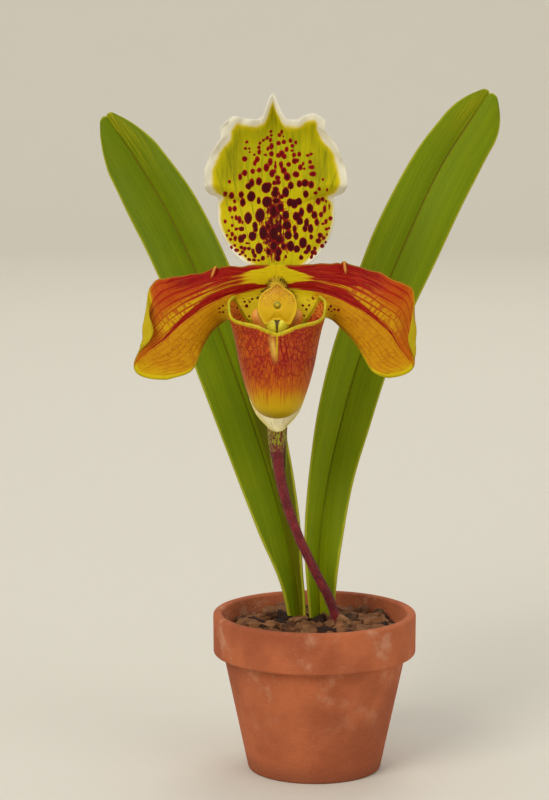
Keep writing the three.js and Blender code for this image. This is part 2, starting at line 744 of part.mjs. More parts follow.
// The staminode: a domed shield with a boss, clawed at its lower end, that closes the pouch's mouth
function staminodeGeometry() {
  const angles = [...STAMINODE_OUTLINE.map((row) => row[0])];
  const round = [...angles.slice(1, -1).map((degrees) => -degrees).reverse(), ...angles];
  const ring = (share, lift) =>
    round.map((degrees) => {
      const radius = steady(STAMINODE_OUTLINE, Math.abs(degrees))[0] * share;
      const angle = THREE.MathUtils.degToRad(degrees);
      const domed = STAMINODE.dome * (1 - share * share) + lift;
      return new THREE.Vector3(
        STAMINODE.x + radius * Math.sin(angle),
        STAMINODE.y - domed,
        STAMINODE.z + radius * Math.cos(angle),
      );
    });
  const bossShare = STAMINODE.bossRadius / STAMINODE_OUTLINE[0][1];
  const front = [
    ring(0.05, STAMINODE.boss),
    ring(bossShare * 0.7, STAMINODE.boss * 0.8),
    ring(bossShare * 1.2, 0),
    ring(0.55, 0),
    ring(0.85, 0),
    ring(1, 0.3),
  ];
  const back = [ring(1, -0.4), ring(0.6, -STAMINODE.thickness), ring(0.05, -STAMINODE.thickness)];
  return loft([...front, ...back]);
}

const plant = new THREE.Group();
plant.name = "potted_lady_slipper_orchid";

function place(name, geometry, color, roughness) {
  const material = new THREE.MeshStandardMaterial({ color, roughness, metalness: 0 });
  const mesh = new THREE.Mesh(geometry, material);
  mesh.name = name;
  plant.add(mesh);
}

const [leftLeaf, rightLeaf, stem] = [leafGeometry(LEFT_LEAF), leafGeometry(RIGHT_LEAF), stemGeometry()];
const standing = [...[leftLeaf, rightLeaf, stem].map(roomFor), crownSolid(GAP)];
const roomForColumn = columnSolid(GAP);

place("pot", potGeometry(), 0xb5623c, 0.85);
place("bark", barkGeometry(standing), 0x6b4429, 0.9);
place("crown_and_roots", geometryOf(crownSolid()), 0xa08662, 0.8);
place("leaf_left", leftLeaf, 0x5d7d0a, 0.45);
place("leaf_right", rightLeaf, 0x5d7d0a, 0.45);
place("flower_stem", stem, 0x6e2130, 0.7);
place("bract", bractGeometry(), 0x7f8f2c, 0.6);
place("ovary", ovaryGeometry(), 0x7a6a2c, 0.7);
place("dorsal_sepal", dorsalGeometry(), 0xa9a50e, 0.5);
place("synsepal", synsepalGeometry(), 0xe6dca6, 0.5);
place("petal_left", petalGeometry(LEFT_PETAL, -1, roomForColumn), 0xc4600f, 0.45);
place("petal_right", petalGeometry(RIGHT_PETAL, 1, roomForColumn), 0xc4600f, 0.45);
place("pouch", pouchGeometry(), 0xb84a18, 0.35);
place("column", geometryOf(columnSolid()), 0xd9a35c, 0.5);
place("staminode", staminodeGeometry(), 0xd2a50c, 0.35);

export default plant;
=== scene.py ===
"""Looks of a potted slipper orchid: one open flower and two strap leaves in a clay pot of bark.

Sizes are in millimetres, as in the part's own source, and become metres where a mesh is made.
The flower faces -Y. Every curved piece starts as a grid that is laid on its surface by a
formula, gets its thickness from a modifier, and is painted by its own chart.
"""
import logging
import math
from dataclasses import dataclass
from enum import Enum
from typing import Callable, Sequence

import bpy
import numpy as np
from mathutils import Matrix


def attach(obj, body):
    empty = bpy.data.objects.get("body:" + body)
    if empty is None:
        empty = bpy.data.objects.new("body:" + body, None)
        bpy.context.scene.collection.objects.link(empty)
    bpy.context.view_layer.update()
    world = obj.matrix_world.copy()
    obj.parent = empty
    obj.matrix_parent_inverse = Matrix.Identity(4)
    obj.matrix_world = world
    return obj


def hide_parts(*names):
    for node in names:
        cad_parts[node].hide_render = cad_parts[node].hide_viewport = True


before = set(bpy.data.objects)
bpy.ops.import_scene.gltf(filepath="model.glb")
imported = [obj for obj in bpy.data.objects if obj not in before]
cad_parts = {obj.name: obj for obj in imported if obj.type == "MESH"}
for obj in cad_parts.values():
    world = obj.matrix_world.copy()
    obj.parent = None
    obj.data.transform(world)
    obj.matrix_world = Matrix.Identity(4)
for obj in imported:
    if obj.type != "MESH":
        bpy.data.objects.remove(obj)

MM = 0.001
Array = np.ndarray
Mesh = bpy.types.Object
Material = bpy.types.Material
Surface = Callable[[Array, Array], Array]
Rows = Sequence[Sequence[float]]
Triple = tuple[float, float, float]
Shape = tuple[Array, list[tuple[int, ...]]]

log = logging.getLogger("orchid")


# Curves and charts


def ease(low: float, high: float, value: Array) -> Array:
    """Rise smoothly from 0 to 1.

    Args:
        low: Value where the rise starts.
        high: Value where it ends.
        value: Values to judge.

    Returns:
        Shares from 0 to 1.
    """
    share = np.clip((np.asarray(value, float) - low) / (high - low), 0, 1)
    return share * share * (3 - 2 * share)


def hill(value: Array, width: float | Array) -> Array:
    """Be 1 at 0 and fall off like a bell over a width."""
    return np.exp(-((value / width) ** 2))


def steady(rows: Rows, place: Array) -> Array:
    """Read a table of sizes between its rows, with no overshoot.

    Args:
        rows: Rows of a place and the sizes there, in rising order of place.
        place: Places to read.

    Returns:
        One row of sizes for each place.
    """
    table = np.asarray(rows, float)
    places, sizes = table[:, 0], table[:, 1:]
    at = np.clip(np.asarray(place, float), places[0], places[-1])
    slopes = np.diff(sizes, axis=0) / np.diff(places)[:, None]
    before, after = slopes[:-1], slopes[1:]
    total = np.where(before + after == 0, 1, before + after)
    inner = np.where(before * after > 0, 2 * before * after / total, 0)
    tangents = np.vstack([slopes[:1], inner, slopes[-1:]])
    first = np.clip(np.searchsorted(places, at, side="left") - 1, 0, len(places) - 2)
    step = (places[first + 1] - places[first])[..., None]
    share = (at - places[first])[..., None] / step
    start, end = sizes[first], sizes[first + 1]
    m0, m1 = tangents[first] * step, tangents[first + 1] * step
    rest = 2 * start - 2 * end + m0 + m1
    return start + share * (m0 + share * (3 * (end - start) - 2 * m0 - m1 + share * rest))


def numbered(rows: Rows, column: int) -> list[list[float]]:
    """Give rows from a column on their place from 0 to 1."""
    return [[i / (len(rows) - 1), *row[column:]] for i, row in enumerate(rows)]


def unit(vectors: Array) -> Array:
    """Make vectors one long."""
    return vectors / np.linalg.norm(vectors, axis=-1, keepdims=True)


def even_spread(count: int) -> Array:
    """Number a count of things evenly from 0 to 1."""
    return np.linspace(0, 1, count)


def spun(radius: Array, share: Array, height: Array) -> Array:
    """Place points round the axis; a share from -1 to 1 is one full turn."""
    angle = math.pi * share
    return np.stack([radius * np.cos(angle), radius * np.sin(angle), height], axis=1)


@dataclass(frozen=True)
class Line:
    """A smooth line through evenly numbered points."""

    rows: Rows
    column: int = 0

    def at(self, share: Array) -> Array:
        """Find points on the line.

        Args:
            share: Shares of the line's length, from 0 to 1.

        Returns:
            One point for each share.
        """
        points = np.array([row[self.column : self.column + 3] for row in self.rows], float)
        last = len(points) - 1
        place = np.clip(np.asarray(share, float), 0, 1) * last
        first = np.minimum(place.astype(int), last - 1)
        w = (place - first)[..., None]
        padded = np.vstack([2 * points[0] - points[1], points, 2 * points[-1] - points[-2]])
        p0, p1, p2, p3 = (padded[first + k] for k in range(4))
        bend = (-p0 + p2) * w + (2 * p0 - 5 * p1 + 4 * p2 - p3) * w**2
        return 0.5 * (2 * p1 + bend + (-p0 + 3 * p1 - 3 * p2 + p3) * w**3)

    def along(self, share: Array) -> Array:
        """Find the line's direction.

        Args:
            share: Shares of the line's length, from 0 to 1.

        Returns:
            One direction, one long, for each share.
        """
        share = np.asarray(share, float)
        step = 1e-4
        return unit(self.at(np.minimum(share + step, 1)) - self.at(np.maximum(share - step, 0)))


@dataclass(frozen=True)
class PictureView:
    """Where the picture is seen from: its target, its tilt and its scale."""

    target: Triple = (-16.6, -25.0, 158.0)
    tilt: float = 8.0
    distance: float = 1000.0
    focal: float = 2500.0
    middle: tuple[float, float] = (274.5, 400.0)
    height: float = 800.0
    sensor: float = 36.0

    def eye(self) -> Array:
        """Return the camera's place."""
        down = math.radians(self.tilt)
        return np.array(self.target) + self.distance * np.array([0, -math.cos(down), math.sin(down)])

    def seen(self, points: Array) -> Array:
        """Find where points show in the picture.

        Args:
            points: Points in millimetres.

        Returns:
            A row of two pixel places for each point, from the left and from the top.
        """
        down = math.radians(self.tilt)
        away = points - self.eye()
        depth = away @ np.array([0, math.cos(down), -math.sin(down)])
        rise = away @ np.array([0, math.sin(down), math.cos(down)])
        across = self.middle[0] + self.focal * away[:, 0] / depth
        return np.stack([across, self.middle[1] - self.focal * rise / depth], axis=1)

    def add_camera(self) -> None:
        """Stand the camera where the picture is seen from."""
        turn = (math.radians(90 - self.tilt), 0, 0)
        bpy.ops.object.camera_add(location=tuple(self.eye() * MM), rotation=turn)
        camera = bpy.context.object
        camera.name = "picture_camera"
        camera.data.sensor_width = self.sensor
        camera.data.lens = self.sensor * self.focal / self.height
        camera.data.clip_end = 20
        bpy.context.scene.camera = camera


VIEW = PictureView()


# The bench: how meshes are made and shaped


def clear_choice() -> None:
    """Deselect everything, so an operator acts on the new piece alone."""
    if bpy.context.mode != "OBJECT":
        bpy.ops.object.mode_set(mode="OBJECT")
    bpy.ops.object.select_all(action="DESELECT")


def choose(piece: Mesh) -> None:
    """Select one piece alone and make it active.

    Args:
        piece: Piece to choose.
    """
    clear_choice()
    piece.select_set(True)
    bpy.context.view_layer.objects.active = piece


def edit(piece: Mesh, *steps: Callable[[], object]) -> None:
    """Run edits, one after the other, on all of a mesh.

    Args:
        piece: Mesh object.
        steps: What to do to it.
    """
    choose(piece)
    bpy.ops.object.mode_set(mode="EDIT")
    for step in steps:
        bpy.ops.mesh.select_all(action="SELECT")
        step()
    bpy.ops.object.mode_set(mode="OBJECT")


def places_of(piece: Mesh) -> Array:
    """Read a mesh's points.

    Args:
        piece: Mesh object.

    Returns:
        The points in metres.
    """
    flat = np.empty(3 * len(piece.data.vertices))
    piece.data.vertices.foreach_get("co", flat)
    return flat.reshape(-1, 3)


def set_places(piece: Mesh, points: Array) -> None:
    """Move a mesh's points to new places, in metres."""
    piece.data.vertices.foreach_set("co", np.ascontiguousarray(points, float).ravel())
    piece.data.update()


def face_rows(piece: Mesh, what: str) -> Array:
    """Read a row of numbers for every face.

    Args:
        piece: Mesh object.
        what: Either normal or center.

    Returns:
        One row for each face.
    """
    flat = np.empty(3 * len(piece.data.polygons))
    piece.data.polygons.foreach_get(what, flat)
    return flat.reshape(-1, 3)


def turn_towards(piece: Mesh, direction: Sequence[float] | Array) -> None:
    """Flip an open sheet when its faces look away from a direction, or from a row for each face."""
    if (face_rows(piece, "normal") * np.asarray(direction)).sum() < 0:
        edit(piece, bpy.ops.mesh.flip_normals)


def store_fields(piece: Mesh, **fields: Array) -> None:
    """Keep numbers for each point of a mesh, for its paint to read.

    Args:
        piece: Mesh object.
        fields: Values of every field, by its name.
    """
    for name, values in fields.items():
        layer = piece.data.attributes.new(name, "FLOAT", "POINT")
        layer.data.foreach_set("value", np.ascontiguousarray(values, np.float32))


def store_chart(piece: Mesh, name: str, across: Array, along: Array) -> None:
    """Keep a flat chart of a mesh as a UV map.

    Args:
        piece: Mesh object.
        name: Name of the chart.
        across: First number for each point.
        along: Second number for each point.
    """
    chart = piece.data.uv_layers.new(name=name)
    corners = np.empty(len(piece.data.loops), np.int32)
    piece.data.loops.foreach_get("vertex_index", corners)
    chart.data.foreach_set("uv", np.stack([across, along], axis=1)[corners].astype(np.float32).ravel())


def lay_grid(
    name: str, across: int, along: int, surface: Surface
) -> tuple[Mesh, Array, Array]:
    """Add a grid and lay it on a curved surface.

    Args:
        name: Name of the piece.
        across: Number of faces across.
        along: Number of faces along.
        surface: Place in millimetres for each pair of across, -1 to 1, and along, 0 to 1.

    Returns:
        The piece, and each point's across and along.
    """
    clear_choice()
    bpy.ops.mesh.primitive_grid_add(x_subdivisions=across, y_subdivisions=along, size=2, calc_uvs=True)
    piece = bpy.context.object
    piece.name = piece.data.name = name
    flat = places_of(piece)
    u, v = flat[:, 0], (flat[:, 1] + 1) / 2
    set_places(piece, surface(u, v) * MM)
    bpy.ops.object.shade_smooth()
    return piece, u, v


def weld(piece: Mesh, ends: bool = False) -> None:
    """Join a rolled-up grid along its seam and turn its faces out.

    Args:
        piece: Rolled-up grid.
        ends: Whether open ends are filled.
    """
    steps = [lambda: bpy.ops.mesh.remove_doubles(threshold=2e-6)]
    if ends:
        steps.append(lambda: bpy.ops.mesh.fill_holes(sides=0))
    edit(piece, *steps, lambda: bpy.ops.mesh.normals_make_consistent(inside=False))


def around(line: Line, radius: Surface) -> Surface:
    """Wrap a surface round a line.

    Args:
        line: Middle line.
        radius: Radius for each angle and share of the length.

    Returns:
        The surface.
    """

    def surface(u: Array, v: Array) -> Array:
        """Find points round the line.

        Args:
            u: Share of the turn, -1 to 1.
            v: Share of the length.

        Returns:
            One point for each pair.
        """
        angle = (math.pi * u)[:, None]
        forward = line.along(v)
        side = unit(np.array([1, 0, 0]) - forward * forward[:, :1])
        other = np.cross(forward, side)
        return line.at(v) + radius(angle[:, 0], v)[:, None] * (np.cos(angle) * side + np.sin(angle) * other)

    return surface


def ribbed(rows: Rows, depth: float, ribs: int) -> Surface:
    """Read a tube's radius from rows, and let it swell a little in ribs."""
    return lambda angle, v: steady(rows, v)[:, 0] * (1 + depth * np.cos(ribs * angle))


def kept_inside(surface: Surface, low: Triple, high: Triple = (math.inf, math.inf, math.inf)) -> Surface:
    """Flatten a surface where it would leave a box."""
    return lambda u, v: np.clip(surface(u, v), low, high)


def lay_tube(name: str, across: int, along: int, surface: Surface) -> Mesh:
    """Add a tube with closed ends.

    Args:
        name: Name of the piece.
        across: Number of faces around.
        along: Number of faces along.
        surface: The tube's surface.

    Returns:
        The piece.
    """
    tube = lay_grid(name, across, along, surface)[0]
    weld(tube, ends=True)
    return tube


def apply_modifier(piece: Mesh, kind: str, **settings: object) -> None:
    """Add a modifier and apply it.

    Args:
        piece: Mesh object.
        kind: Blender's name of the modifier.
        settings: Its settings.
    """
    choose(piece)
    modifier = piece.modifiers.new(kind.lower(), kind)
    for name, value in settings.items():
        setattr(modifier, name, value)
    bpy.ops.object.modifier_apply(modifier=modifier.name)


def thicken(
    piece: Mesh,
    finishes: Sequence[Material],
    thickness: float,
    shares: Array | None = None,
    inward: bool = False,
) -> None:
    """Dress a sheet and give it its thickness.

    Args:
        piece: Sheet to thicken.
        finishes: Materials of its front, its back and its rim.
        thickness: Full thickness in millimetres.
        shares: Share of the thickness at each point, or none for the same all over.
        inward: Whether the sheet is the outside of a wall, not its middle.
    """
    dress(piece, *finishes)
    settings = dict(thickness=thickness * MM, offset=-1 if inward else 0, use_even_offset=False)
    settings |= dict(material_offset=1, material_offset_rim=2, use_quality_normals=True)
    if shares is not None:
        group = piece.vertex_groups.new(name="thick")
        levels = np.round(np.clip(shares, 0.02, 1) * 40).astype(int)
        for level in np.unique(levels):
            group.add(np.nonzero(levels == level)[0].tolist(), float(level) / 40, "REPLACE")
        settings |= dict(vertex_group=group.name)
    apply_modifier(piece, "SOLIDIFY", **settings)
    piece.vertex_groups.clear()


def rim_of(surface: Surface, count: int = 700) -> Array:
    """Find points on a sheet's two sides and its far end.

    Args:
        surface: The sheet's surface.
        count: Number of points on each of the three.

    Returns:
        The points, in millimetres.
    """
    spread, one = even_spread(count), np.ones(count)
    return np.vstack([surface(-one, spread), surface(one, spread), surface(2 * spread - 1, one)])


def rim_distance(points: Array, rim: Array) -> Array:
    """Measure how far points are from a rim.

    Args:
        points: Points of a sheet.
        rim: Closely spaced points of its rim.

    Returns:
        Distance of each point from the nearest point of the rim.
    """
    blocks = [block[:, None] for block in np.array_split(points, 60)]
    return np.concatenate([np.sqrt(((block - rim) ** 2).sum(axis=2).min(axis=1)) for block in blocks])


def spot_distance(seen: Array, spots: Array) -> Array:
    """Measure how far places are outside the nearest of some oval spots.

    Args:
        seen: Places as rows of across and up.
        spots: Rows of across, up, width and height.

    Returns:
        Distance to the nearest spot's edge, negative inside it.
    """
    middle, half = spots[:, :2], spots[:, 2:] / 2
    share = np.sqrt((((seen[:, None] - middle) / half) ** 2).sum(axis=2))
    return ((share - 1) * half.min(axis=1)).min(axis=1)


def join_copies(name: str, shapes: Sequence[Shape]) -> Mesh:
    """Make one piece of many placed copies.

    Args:
        name: Name of the piece.
        shapes: Points in millimetres and faces of each copy.

    Returns:
        The piece.
    """
    points, faces, count = [], [], 0
    for places, sides in shapes:
        points.append(places)
        faces.extend(tuple(corner + count for corner in side) for side in sides)
        count += len(places)
    mesh = bpy.data.meshes.new(name)
    mesh.from_pydata((np.concatenate(points) * MM).tolist(), [], faces)
    mesh.update()
    piece = bpy.data.objects.new(name, mesh)
    bpy.context.scene.collection.objects.link(piece)
    choose(piece)
    bpy.ops.object.shade_smooth()
    return piece


def add_hairs(
    name: str, roots: Array, directions: Array, lengths: Array, radius: float, droop: float
) -> Mesh:
    """Grow fine curved hairs, three-sided and pointed, as one piece.

    Args:
        name: Name of the piece.
        roots: Where the hairs grow, in millimetres.
        directions: Where they point.
        lengths: How long they are.
        radius: Radius at the root.
        droop: Share of its length by which a tip hangs.

    Returns:
        The piece.
    """
    ahead = unit(directions)
    helper = np.where(np.abs(ahead[:, 2:3]) < 0.9, [[0, 0, 1]], [[1, 0, 0]])
    side = unit(np.cross(ahead, helper))
    faces = [(k, (k + 1) % 3, 3 + (k + 1) % 3, 3 + k) for k in range(3)]
    faces += [(3 + k, 3 + (k + 1) % 3, 6) for k in range(3)] + [(2, 1, 0)]
    turns = [2 * math.pi * k / 3 for k in range(3)]
    shapes = []
    for root, forward, length, a, b in zip(roots, ahead, lengths, side, np.cross(ahead, side)):
        rings = []
        for share, width in ((0, 1), (0.55, 0.7)):
            middle = root + forward * length * share - np.array([0, 0, droop * length * share**2])
            rings += [middle + radius * width * (math.cos(t) * a + math.sin(t) * b) for t in turns]
        tip = root + forward * length - np.array([0, 0, droop * length])
        shapes.append((np.array([*rings, tip]), faces))
    return join_copies(name, shapes)


# Paint


def tint(code: str) -> tuple[float, float, float, float]:
    """Turn a colour's hex code into the linear colour that shaders use.

    Args:
        code: Two digits each of red, green and blue.

    Returns:
        Linear red, green, blue and 1.
    """
    shares = [int(code[k : k + 2], 16) / 255 for k in (0, 2, 4)]
    red, green, blue = (s / 12.92 if s <= 0.04045 else ((s + 0.055) / 1.055) ** 2.4 for s in shares)
    return (red, green, blue, 1)


class Value:
    """A number, a place or a colour in a node tree, which takes plain sums."""

    def __init__(self, recipe: "Recipe", socket: bpy.types.NodeSocket) -> None:
        """Keep the recipe and the socket."""
        self.recipe = recipe
        self.socket = socket

    def __add__(self, other: "float | Value") -> "Value":
        """Add a value."""
        return self.recipe.maths("ADD", self, other)

    def __sub__(self, other: "float | Value") -> "Value":
        """Take a value away."""
        return self.recipe.maths("SUBTRACT", self, other)

    def __mul__(self, other: "float | Value") -> "Value":
        """Multiply by a value."""
        return self.recipe.maths("MULTIPLY", self, other)

    def swing(self, amount: float) -> "Value":
        """Turn a share from 0 to 1 into a push to both sides."""
        return (self - 0.5) * amount

    def size(self) -> "Value":
        """Drop the sign."""
        return self.recipe.maths("ABSOLUTE", self)

    def fold(self) -> "Value":
        """Go to and fro between 0 and a half."""
        return self.recipe.maths("PINGPONG", self, 0.5)

    def rise(self, low: float, high: float) -> "Value":
        """Rise smoothly from 0 at low to 1 at high; low may be the larger one."""
        ends = (high, low, 1, 0) if low > high else (low, high, 0, 1)
        return self.recipe.node("MapRange", dict(enumerate((self, *ends))), interpolation_type="SMOOTHSTEP")

    def near(self, middle: float, reach: float) -> "Value":
        """Be 1 at a middle value and fall smoothly to 0 at its reach."""
        return (self - middle).size().rise(reach, 0)


class Recipe:
    """One material's node tree, put together in few words, with its coats of colour."""

    def __init__(self, name: str) -> None:
        """Start an empty material.

        Args:
            name: Its name.
        """
        self.material = bpy.data.materials.new(name)
        self.material.use_nodes = True
        self.tree = self.material.node_tree
        self.tree.nodes.clear()
        self.colour: Value | None = None

    def plug(self, socket: bpy.types.NodeSocket, value: object) -> None:
        """Fill an input.

        Args:
            socket: Input to fill.
            value: Value to link, or a number, a row of numbers or a colour's hex code to set.
        """
        if isinstance(value, Value):
            self.tree.links.new(value.socket, socket)
        else:
            socket.default_value = tint(value) if isinstance(value, str) else value

    def node(self, kind: str, inputs: dict, output: int | str = 0, **settings: object) -> Value:
        """Add a node.

        Args:
            kind: Kind of shader node.
            inputs: What goes into its inputs, by their name or number.
            output: Output to read.
            settings: Its settings.

        Returns:
            The value that the output gives.
        """
        node = self.tree.nodes.new(f"ShaderNode{kind}")
        for name, value in settings.items():
            setattr(node, name, value)
        for key, value in inputs.items():
            self.plug(node.inputs[key], value)
        return Value(self, node.outputs[output])

    def place(self) -> Value:
        """Return the place on the object, in metres."""
        return self.node("TexCoord", {}, "Object")

    def stored(self, name: str) -> Value:
        """Return a stored number."""
        return self.node("Attribute", {}, "Fac", attribute_name=name)

    def part(self, place: Value, index: int) -> Value:
        """Return one of a place's three numbers."""
        return self.node("SeparateXYZ", {0: place}, index)

    def chart(self, name: str) -> tuple[Value, Value]:
        """Return the two numbers of a chart."""
        flat = self.node("UVMap", {}, "UV", uv_map=name)
        return self.part(flat, 0), self.part(flat, 1)

    def vector(self, x: Value, y: Value, z: float = 0) -> Value:
        """Put three numbers together."""
        return self.node("CombineXYZ", {0: x, 1: y, 2: z})

    def maths(self, operation: str, first: Value, second: "float | Value" = 0) -> Value:
        """Do one sum."""
        return self.node("Math", {0: first, 1: second}, operation=operation)

    def noise(self, place: Value, scale: float, detail: float = 2, rough: float = 0.5) -> Value:
        """Return soft noise from 0 to 1."""
        inputs = {"Vector": place, "Scale": scale, "Detail": detail, "Roughness": rough}
        return self.node("TexNoise", inputs, "Fac")

    def cells(self, place: Value, scale: float, feature: str = "F1") -> Value:
        """Return the distance from the nearest seed of a pattern of cells, or from their edges."""
        return self.node("TexVoronoi", {"Vector": place, "Scale": scale}, "Distance", feature=feature)

    def edges(self, place: Value, scale: float) -> Value:
        """Return the distance from the edges of a pattern of cells."""
        return self.cells(place, scale, "DISTANCE_TO_EDGE")

    def wobble(self, place: Value, scale: float, amount: float) -> Value:
        """Push a place about by noise.

        Args:
            place: Place to push.
            scale: How fine the noise is.
            amount: How far it pushes, in the place's own unit.

        Returns:
            The pushed place.
        """
        noise = self.node("TexNoise", {"Vector": place, "Scale": scale, "Detail": 1}, "Color")
        centred = self.node("VectorMath", {0: noise, 1: (0.5, 0.5, 0.5)}, operation="SUBTRACT")
        push = self.node("VectorMath", {0: centred, "Scale": 2 * amount}, operation="SCALE")
        return self.node("VectorMath", {0: place, 1: push}, operation="ADD")

    def blend(self, share: "float | Value", first: "str | Value", second: "str | Value") -> Value:
        """Mix two colours by a share."""
        return self.node("Mix", {0: share, 6: first, 7: second}, 2, data_type="RGBA")

    def ground(self, share: Value, first: str, second: "str | Value") -> None:
        """Lay the first coat, which runs from one colour to another."""
        self.colour = self.blend(share, first, second)

    def coat(self, share: "float | Value", colour: "str | Value") -> None:
        """Lay a colour over what is there."""
        self.colour = self.blend(share, self.colour, colour)

    def relief(self, height: Value, depth: float, under: Value | None = None) -> Value:
        """Raise a surface.

        Args:
            height: Height from 0 to 1.
            depth: How many millimetres a height of 1 stands proud.
            under: Another relief under this one.

        Returns:
            The shaded normal.
        """
        inputs = {"Distance": depth * MM, "Height": height}
        if under is not None:
            inputs["Normal"] = under
        return self.node("Bump", inputs, "Normal")

    def finish(
        self,
        roughness: "float | Value",
        normal: Value | None = None,
        shine: float = 0.3,
        velvet: float = 0.0,
    ) -> Material:
        """Plug the shader and hand over the material.

        Args:
            roughness: Roughness.
            normal: Relief, or none.
            shine: Strength of the plain reflection.
            velvet: Strength of the sheen of fine hairs.

        Returns:
            The material.
        """
        inputs = {"Base Color": self.colour, "Roughness": roughness}
        inputs |= {"Specular IOR Level": shine, "Sheen Weight": velvet}
        if normal is not None:
            inputs["Normal"] = normal
        shader = self.node("BsdfPrincipled", inputs, "BSDF")
        output = self.tree.nodes.new("ShaderNodeOutputMaterial")
        self.plug(output.inputs["Surface"], shader)
        return self.material


class Face(Enum):
    """Which face of a sheet a finish is for."""

    FRONT = "front"
    BACK = "back"


@dataclass(frozen=True)
class CloudFinish:
    """Two tones that run into each other in soft clouds."""

    name: str
    first: str
    second: str
    scale: float = 500.0
    span: tuple[float, float] = (0.35, 0.65)
    detail: float = 2.0
    rough: float = 0.5
    roughness: float = 0.6
    depth: float = 0.0
    shine: float = 0.2
    velvet: float = 0.0

    def make(self) -> Material:
        """Build the material.

        Returns:
            The material.
        """
        r = Recipe(self.name)
        cloud = r.noise(r.place(), self.scale, self.detail, self.rough)
        r.ground(cloud.rise(*self.span), self.first, self.second)
        normal = r.relief(cloud, self.depth) if self.depth else None
        return r.finish(self.roughness, normal, self.shine, self.velvet)


@dataclass(frozen=True)
class LeafFinish:
    """Green strap leaf: fine lengthwise streaks, a brown midrib and a pale margin."""

    name: str
    face: Face
    green: str
    deep: str
    upper: str = "4c5e02"
    olive: str = "565206"
    gold: str = "99900a"
    rib: str = "84622a"
    pale: str = "a8a626"
    dull: str = "8b9440"

    def make(self) -> Material:
        """Build the material.

        Returns:
            The material.
        """
        r = Recipe(self.name)
        across, along = r.chart("leaf")
        fine = r.noise(r.vector(across, along * 0.012), 3.2, 3, 0.6)
        broad = r.noise(r.vector(across, along * 0.03, 5), 0.35)
        blotch = r.noise(r.place(), 55, 3)
        vein = (across * 0.55).fold().near(0, 0.16)
        rim = r.stored("rim") + r.noise(r.place(), 300) * 0.5
        r.ground((fine * 0.6 + broad * 0.7).rise(0.4, 0.9), self.deep, self.green)
        r.coat(blotch.rise(0.45, 0.7) * 0.1, self.gold)
        r.coat(along.rise(140, 215) * 0.22, self.upper)
        # Painted shade: olive darkens one half of the blade, where the fold turns it from the light.
        r.coat(r.stored("shade").rise(0.2, 0.8) * 0.8, self.olive)
        r.coat(r.stored("gold") * fine.rise(0.42, 0.62), self.gold)
        r.coat(vein * 0.1, self.deep)
        r.coat(across.size().rise(1.05, 0.35) * r.stored("ribbed"), self.rib)
        r.coat(rim.rise(1.2, 0.6) * 0.85, self.pale)
        if self.face is Face.BACK:
            r.coat(0.35, self.dull)
        return r.finish(blotch * 0.16 + 0.46, r.relief(vein, -0.06, r.relief(fine, 0.06)), shine=0.08)


@dataclass(frozen=True)
class StemFinish:
    """Maroon flower stem with paler flecks."""

    name: str = "stem_maroon"
    maroon: str = "7a2226"
    dark: str = "58161c"
    fleck: str = "96443e"

    def make(self) -> Material:
        """Build the material.

        Returns:
            The material.
        """
        r = Recipe(self.name)
        place = r.place()
        r.ground(r.noise(place, 180, 3).rise(0.35, 0.65), self.dark, self.maroon)
        r.coat(r.cells(place, 1100).rise(0.38, 0.15) * 0.7, self.fleck)
        return r.finish(0.6, r.relief(r.noise(place, 900), 0.12), shine=0.2, velvet=0.1)


@dataclass(frozen=True)
class OvaryFinish:
    """Green ribbed ovary, mottled maroon, plain maroon at its foot."""

    name: str = "ovary_mottled"
    green: str = "8f9420"
    maroon: str = "6b1f26"
    dark: str = "431019"
    foot: str = "7c2428"

    def make(self) -> Material:
        """Build the material.

        Returns:
            The material.
        """
        r = Recipe(self.name)
        place = r.place()
        mottle = r.noise(r.node("Mapping", {"Vector": place, "Scale": (1, 1, 0.45)}), 1500, 3, 0.65)
        foot = (r.part(place, 2) * (1 / MM)).rise(138.8, 132)
        level = mottle + foot * 0.3
        r.ground(level.rise(0.46, 0.54), self.green, self.maroon)
        r.coat(level.rise(0.62, 0.72), self.dark)
        r.coat(foot * 0.6, self.foot)
        return r.finish(0.55, r.relief(mottle, 0.1), shine=0.2, velvet=0.08)


@dataclass(frozen=True)
class BractFinish:
    """Thin green bract with maroon flecks."""

    name: str = "bract_green"
    green: str = "87901c"
    vein: str = "5d6a12"
    fleck: str = "6e3a24"

    def make(self) -> Material:
        """Build the material.

        Returns:
            The material.
        """
        r = Recipe(self.name)
        across, along = r.chart("UVMap")
        veins = (across * 11).fold().near(0, 0.2)
        r.ground(veins * 0.5, self.green, self.vein)
        r.coat(r.cells(r.place(), 900).rise(0.3, 0.15) * along.rise(0.8, 0.1), self.fleck)
        return r.finish(0.5, r.relief(veins, 0.15))


